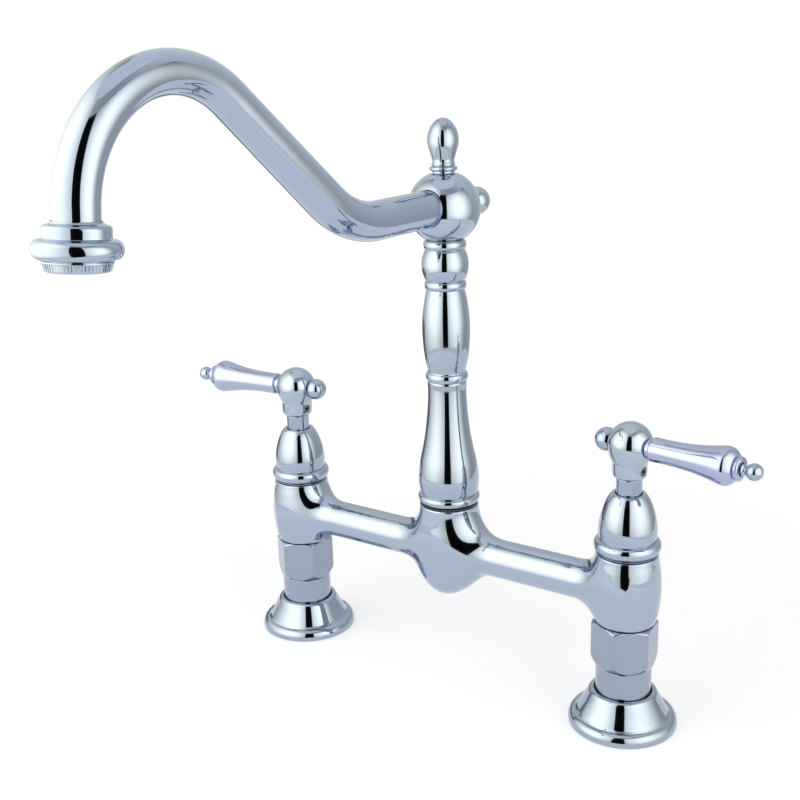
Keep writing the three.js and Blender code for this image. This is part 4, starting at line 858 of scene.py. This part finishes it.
knee_arc = sums("MULTIPLY", start["Knee radius"], start["Knee angle"])
neck_arc = sums("MULTIPLY", start["Neck radius"], start["Neck angle"])
lengths = [start["Root"], knee_arc, start["Rise"], neck_arc, start["Drop"]]
total = 0.0
for length in lengths:
    total = sums("ADD", total, length)
point = add("GeometryNodeInputIndex")
run = sums("MULTIPLY", total, sums("DIVIDE", point, STATIONS - 1.0))
done = [stretch(run, lengths, i) for i in range(5)]
knee, neck, up = start["Knee radius"], start["Neck radius"], start["Knee angle"]
knee_turn, neck_turn = sums("DIVIDE", done[1], knee), sums("DIVIDE", done[3], neck)
over, last = sums("SUBTRACT", up, neck_turn), sums("SUBTRACT", up, start["Neck angle"])
terms = [
    (done[0], 0.0),
    (sums("MULTIPLY", knee, sums("SINE", knee_turn)),
     sums("MULTIPLY", knee, sums("SUBTRACT", 1.0, sums("COSINE", knee_turn)))),
    (sums("MULTIPLY", done[2], sums("COSINE", up)), sums("MULTIPLY", done[2], sums("SINE", up))),
    (sums("MULTIPLY", neck, sums("SUBTRACT", sums("SINE", up), sums("SINE", over))),
     sums("MULTIPLY", neck, sums("SUBTRACT", sums("COSINE", over), sums("COSINE", up)))),
    (sums("MULTIPLY", done[4], sums("COSINE", last)), sums("MULTIPLY", done[4], sums("SINE", last))),
]
reach, height = 0.0, 0.0
for along, rise in terms:
    reach, height = sums("ADD", reach, along), sums("ADD", height, rise)
path = add("ShaderNodeCombineXYZ", {"Y": sums("MULTIPLY", reach, -1.0), "Z": height})
line = add("GeometryNodeSetPosition", {"Geometry": steps, "Position": path})
curve = add("GeometryNodeMeshToCurve", {"Mesh": line})
ring = add("GeometryNodeCurvePrimitiveCircle", {"Radius": start["Root radius"]}, Resolution=96)
taper = sums("MULTIPLY", sums("DIVIDE", done[2], start["Rise"]),
             sums("SUBTRACT", 1.0, sums("DIVIDE", start["End radius"], start["Root radius"])))
close(add("GeometryNodeCurveToMesh", {
    "Curve": curve, "Profile Curve": ring, "Scale": sums("SUBTRACT", 1.0, taper)}))


def walled(mesh, thickness):
    """An open sheet given a wall on its inside, with closed rims."""
    work = added("work", outward(mesh))
    wall = work.modifiers.new("wall", "SOLIDIFY")
    wall.thickness, wall.offset = thickness, -1
    return baked(work)


tube = walled(grown(tube_tree, bpy.data.meshes.new("start"), TUBE), 1.2 * MM)
fitted("tube", tube, tube_chrome, "spout", "chrome", "spout_tube",
       place=moved(0, -9.2, TUBE_LEVEL))

# ------------------------------------------------------------
# Outlet: a turned collar with a heavy ring, brazed on the tube's end. It leans forward a
# little, and its threaded bore takes the aerator.

OUTLET = moved(0, -227.111, 269.623) @ spun(radians(-5.7), "X")
outlet_outline = eased([
    (10.7, -6.9, 0.3), (12.0, -6.9, 0.3), *arc(12.4, -3.45, 3.05, 3.4, -86, 84, 18),
    (12.2, 0.0), (11.7, 0.35), (11.65, 3.0), *arc(10.4, 3.2, 1.25, 1.5, 0, 80, 8),
    (9.4, 5.0), (8.75, 5.5), (8.6, 5.9), (8.6, -0.3, 0.2), (10.7, -0.3, 0.2),
])
outlet_chrome = polished("outlet_chrome", (0.365, 0.44, 0.55))
fitted("outlet_ring", turned(outlet_outline, 112), outlet_chrome, "spout", "chrome", "outlet_collar",
       sharp=52, place=OUTLET)

# ------------------------------------------------------------
# Aerator: a chromed housing with fine flutes to grip it by, screwed up into the outlet on a
# rubber washer. A perforated plastic disc inside breaks up the stream.

aerator_chrome = polished("aerator_chrome", (0.4, 0.46, 0.56), 0.08)
FLUTES = {"Flutes": 64, "Radius": 11.52 * MM, "Width": 0.5 * MM, "Length": 2.3 * MM,
          "Level": -9.1 * MM, "Lean": radians(14), "Finish": aerator_chrome}
flute_tree, start, add, sums, join, close = tree("aerator flutes", FLUTES)
circle = add("GeometryNodeMeshCircle", {"Vertices": start["Flutes"], "Radius": start["Radius"]})
raised = add("GeometryNodeTransform", {
    "Geometry": circle, "Translation": add("ShaderNodeCombineXYZ", {"Z": start["Level"]})})
half = sums("DIVIDE", start["Width"], 2.0)
flute = add("GeometryNodeMeshCylinder", {"Radius": half, "Depth": start["Length"]}, Vertices=10)
turn = sums("MULTIPLY", add("GeometryNodeInputIndex"), sums("DIVIDE", 2 * pi, start["Flutes"]))
ribs = add("GeometryNodeInstanceOnPoints", {
    "Points": raised, "Instance": flute,
    "Rotation": add("ShaderNodeCombineXYZ", {"Y": start["Lean"], "Z": turn})})
both = add("GeometryNodeJoinGeometry", {"Geometry": ribs})
join(start["Geometry"], both.node.inputs["Geometry"])
close(both)
housing_outline = eased([
    (8.4, -11.0, 0.3), (10.1, -11.0, 0.3), (11.0, -10.6), (11.35, -10.1), (11.85, -8.0), (12.1, -7.7, 0.1),
    (12.1, -7.2, 0.2), (10.4, -7.2), (10.4, -1.8, 0.3), (6.9, -1.8, 0.2), (6.9, -2.8, 0.2),
    (8.4, -2.8, 0.2),
])
housing = grown(flute_tree, turned(housing_outline, 128), FLUTES)
fitted("aerator", housing, aerator_chrome, "spout", "aerator_chrome", "aerator_housing", sharp=35,
       place=OUTLET)

aerator_plastic = moulded("aerator_plastic", (0.55, 0.56, 0.58), 0.45)
HOLES = {"Hole": 0.55 * MM, "Finish": aerator_plastic}
hole_tree, start, add, sums, join, close = tree("aerator holes", HOLES)
cutters = add("GeometryNodeJoinGeometry")
for many, reach_out in ((6, 2.6), (12, 5.0), (18, 7.0)):
    spots = add("GeometryNodeMeshCircle", None, Vertices=many, Radius=reach_out * MM)
    pin = add("GeometryNodeMeshCylinder", {"Radius": start["Hole"]}, Vertices=12, Depth=6 * MM)
    pins = add("GeometryNodeInstanceOnPoints", {"Points": spots, "Instance": pin})
    join(pins, cutters.node.inputs["Geometry"])
low_pins = add("GeometryNodeTransform", {"Geometry": cutters}, Translation=(0, 0, -3.85 * MM))
drills = add("GeometryNodeRealizeInstances", {"Geometry": low_pins})
disc = start["Geometry"]
close(add("GeometryNodeMeshBoolean", {"Mesh 1": disc, "Mesh 2": drills}, operation="DIFFERENCE"))
screen_outline = eased([(0, -4.6), (8.05, -4.6, 0.3), (8.05, -3.1, 0.3), (0, -3.1)], closed=False)
fitted("aerator_disc", grown(hole_tree, turned(screen_outline, 64), HOLES), aerator_plastic, "spout",
       "aerator_plastic", "aerator_screen", sharp=30, place=OUTLET)
dressed(seal_rubber, "aerator_washer")

# ------------------------------------------------------------
# Studio: a pale round tent of cards with a ceiling stands round the object. A tall and a low
# softbox panel light it from the camera's side, with a dark slit between them to look through.


CAMERA_TURN = -57.4


def around(turn, distance):
    """A place round the column; degrees run to the camera's right, seen from the column."""
    return distance * cos(radians(turn + CAMERA_TURN)), distance * sin(radians(turn + CAMERA_TURN))


def glowing(surface, colour):
    """A surface that only glows."""
    given(surface, Emission_Color=(*colour, 1), Base_Color=(0, 0, 0, 1), Specular_IOR_Level=0)


def mirrored(name, mesh, material):
    """Adds a piece of the studio that only reflections see."""
    mesh.materials.append(material)
    piece = added(name, mesh)
    piece.visible_camera = piece.visible_shadow = piece.visible_diffuse = False


def card(name, distance, turns, heights, colour, across, upward):
    """A curved card. Its glow follows the places and strengths given across it in degrees and up
    it in millimetres."""
    wide, high, brightest = 49, 9, 4
    sweep, rise = np.linspace(*turns, wide), np.linspace(*heights, high)
    points = [(*around(turn, distance), z) for z in rise for turn in sweep]
    faces = [(i * wide + k, i * wide + k + 1, (i + 1) * wide + k + 1, (i + 1) * wide + k)
             for i in range(high - 1) for k in range(wide - 1)]
    mesh = bpy.data.meshes.new(name)
    mesh.from_pydata([(x * MM, y * MM, z * MM) for x, y, z in points], [], faces)
    chart = mesh.uv_layers.new(name="chart").data
    for loop in mesh.loops:
        row, column = divmod(loop.vertex_index, wide)
        chart[loop.index].uv = (column / (wide - 1), row / (high - 1))
    material, surface, add, join, place = shader(name)
    spread = add("ShaderNodeTexCoord").outputs["UV"]
    split = add("ShaderNodeSeparateXYZ", (spread, "Vector")).outputs
    glow = add("ShaderNodeMath", operation="MULTIPLY")
    for socket, source, stops, span in ((0, split["X"], across, turns), (1, split["Y"], upward, heights)):
        ramp = add("ShaderNodeValToRGB", (source, "Fac"))
        ramp.color_ramp.interpolation = "B_SPLINE"
        marks = ramp.color_ramp.elements
        while len(marks) < len(stops):
            marks.new(0.5)
        for mark, (spot, strength) in zip(marks, stops):
            mark.position = (spot - span[0]) / (span[1] - span[0])
            mark.color = (strength / brightest,) * 3 + (1,)
        join(ramp.outputs["Color"], glow.inputs[socket])
    full = add("ShaderNodeMath", (glow.outputs[0], 0), operation="MULTIPLY")
    full.inputs[1].default_value = brightest ** 2
    join(full.outputs[0], surface.inputs["Emission Strength"])
    glowing(surface, colour)
    mirrored(name, mesh, material)


WARM, WHITE, COOL = (1.0, 0.97, 0.87), (1.0, 1.0, 1.0), (0.97, 1.0, 1.0)
card("tall_panel", 480, (-142, -16), (0, 1250), WARM,
     [(-142, 0.8), (-128, 0.95), (-115, 1.4), (-100, 1.9), (-85, 2.4), (-65, 2.8), (-48, 2.6), (-35, 2.1),
      (-24, 1.6), (-16, 1.25)],
     [(0, 0.55), (90, 0.8), (200, 1.0), (600, 1.0), (850, 0.75), (1050, 0.65), (1250, 0.5)])
card("low_panel", 480, (8, 98), (0, 760), WARM,
     [(8, 1.3), (16, 1.8), (28, 2.2), (40, 2.6), (54, 2.6), (66, 2.1), (78, 1.5), (88, 0.95), (98, 0.75)],
     [(0, 0.6), (120, 0.9), (300, 1.0), (520, 0.9), (660, 0.6), (760, 0.4)])
card("slit", 470, (-16.5, 8.5), (0, 740), WHITE,
     [(-16.5, 0.1), (-14, 0.03), (-4, 0.01), (6, 0.03), (8.5, 0.1)], [(0, 0.2), (700, 0.2), (740, 1.0)])
card("low_shade", 470, (-178, -122), (0, 115), WHITE,
     [(-178, 0.5), (-168, 0.15), (-132, 0.15), (-122, 0.5)], [(0, 1.0), (90, 1.0), (115, 1.6)])
card("tent", 530, (-180, 180), (-2, 1400), COOL,
     [(-180, 0.78), (-100, 0.8), (-20, 0.5), (10, 0.4), (50, 0.4), (80, 0.6), (110, 0.7), (180, 0.78)],
     [(-2, 0.8), (300, 1.0), (650, 1.15), (900, 1.3), (1400, 1.3)])
ceiling = turned([(0, 1380), (560, 1380), (560, 1381), (0, 1381)], 64)
material, surface, add, join, place = shader("ceiling")
mottle = add("ShaderNodeTexNoise", (place, "Vector"), Scale=1.5, Detail=1)
level = add("ShaderNodeMapRange", (mottle.outputs["Fac"], "Value"), To_Min=0.95, To_Max=1.1)
join(level.outputs["Result"], surface.inputs["Emission Strength"])
glowing(surface, WHITE)
mirrored("ceiling", ceiling, material)


def softbox(name, turn, distance, width, low, high, strength):
    """An upright area lamp that faces the column and lights what isn't a mirror."""
    x, y = around(turn, distance)
    lamp = bpy.data.lights.new(name, "AREA")
    lamp.shape, lamp.size, lamp.size_y = "RECTANGLE", width * MM, (high - low) * MM
    lamp.energy = strength * pi * lamp.size * lamp.size_y
    piece = added(name, lamp)
    piece.location = (x * MM, y * MM, (low + high) / 2 * MM)
    piece.rotation_euler = (pi / 2, 0, atan2(y, x) + pi / 2)
    piece.visible_camera = piece.visible_glossy = False


softbox("tall_softbox", -68, 640, 900, 100, 900, 1.2)
softbox("low_softbox", 45, 640, 560, 100, 700, 1.2)

# ------------------------------------------------------------
# Floor and room: a plain pale floor, left out of reflections beyond the tent, in a white room.
# Both glow a little where they are looked at.


def looked_at(node_tree):
    """1 for rays of the camera, of mirrors and of glass, 0 for the light that falls on things."""
    nodes, links = node_tree.nodes, node_tree.links
    rays = nodes.new("ShaderNodeLightPath").outputs
    either = rays["Is Camera Ray"]
    for kind in ("Is Glossy Ray", "Is Transmission Ray"):
        both = nodes.new("ShaderNodeMath")
        both.operation = "MAXIMUM"
        links.new(either, both.inputs[0])
        links.new(rays[kind], both.inputs[1])
        either = both.outputs[0]
    return either


material, surface, add, join, place = shader("floor")
grain = add("ShaderNodeTexNoise", (place, "Vector"), Scale=9, Detail=2)
shade = add("ShaderNodeMix", (grain.outputs["Fac"], "Factor"), data_type="RGBA")
shade.inputs["A"].default_value = (0.66, 0.66, 0.67, 1)
shade.inputs["B"].default_value = (0.68, 0.68, 0.69, 1)
join(shade.outputs["Result"], surface.inputs["Base Color"])
given(surface, Roughness=0.9, Specular_IOR_Level=0, Emission_Color=(1, 1, 1, 1))
looked = looked_at(material.node_tree)
away = add("ShaderNodeVectorMath", (place, 0), operation="LENGTH")
level = add("ShaderNodeMapRange", (away.outputs["Value"], "Value"), From_Min=0.22, From_Max=0.75,
            To_Min=0.51, To_Max=0.68)
glow = add("ShaderNodeMath", (looked, 0), (level.outputs["Result"], 1), operation="MULTIPLY")
join(glow.outputs[0], surface.inputs["Emission Strength"])
for name, inner, outer in (("floor", 0, 380), ("floor_beyond", 380, 6000)):
    disc = turned([(inner, -0.6), (outer, -0.6), (outer, -0.3), (inner, -0.3)], 128)
    disc.transform(moved(y=-60))
    disc.materials.append(material)
    floor = added(name, disc)
    floor.visible_glossy = name == "floor"

world = bpy.data.worlds.new("studio")
bpy.context.scene.world = world
world.use_nodes = True
nodes, links = world.node_tree.nodes, world.node_tree.links
sky = nodes["Background"]
sky.inputs["Color"].default_value = (1, 1, 1, 1)
level = nodes.new("ShaderNodeMapRange")
level.inputs["To Min"].default_value = 0.55
level.inputs["To Max"].default_value = 1.0
links.new(looked_at(world.node_tree), level.inputs["Value"])
links.new(level.outputs["Result"], sky.inputs["Strength"])

bpy.context.scene.view_settings.view_transform = "Standard"
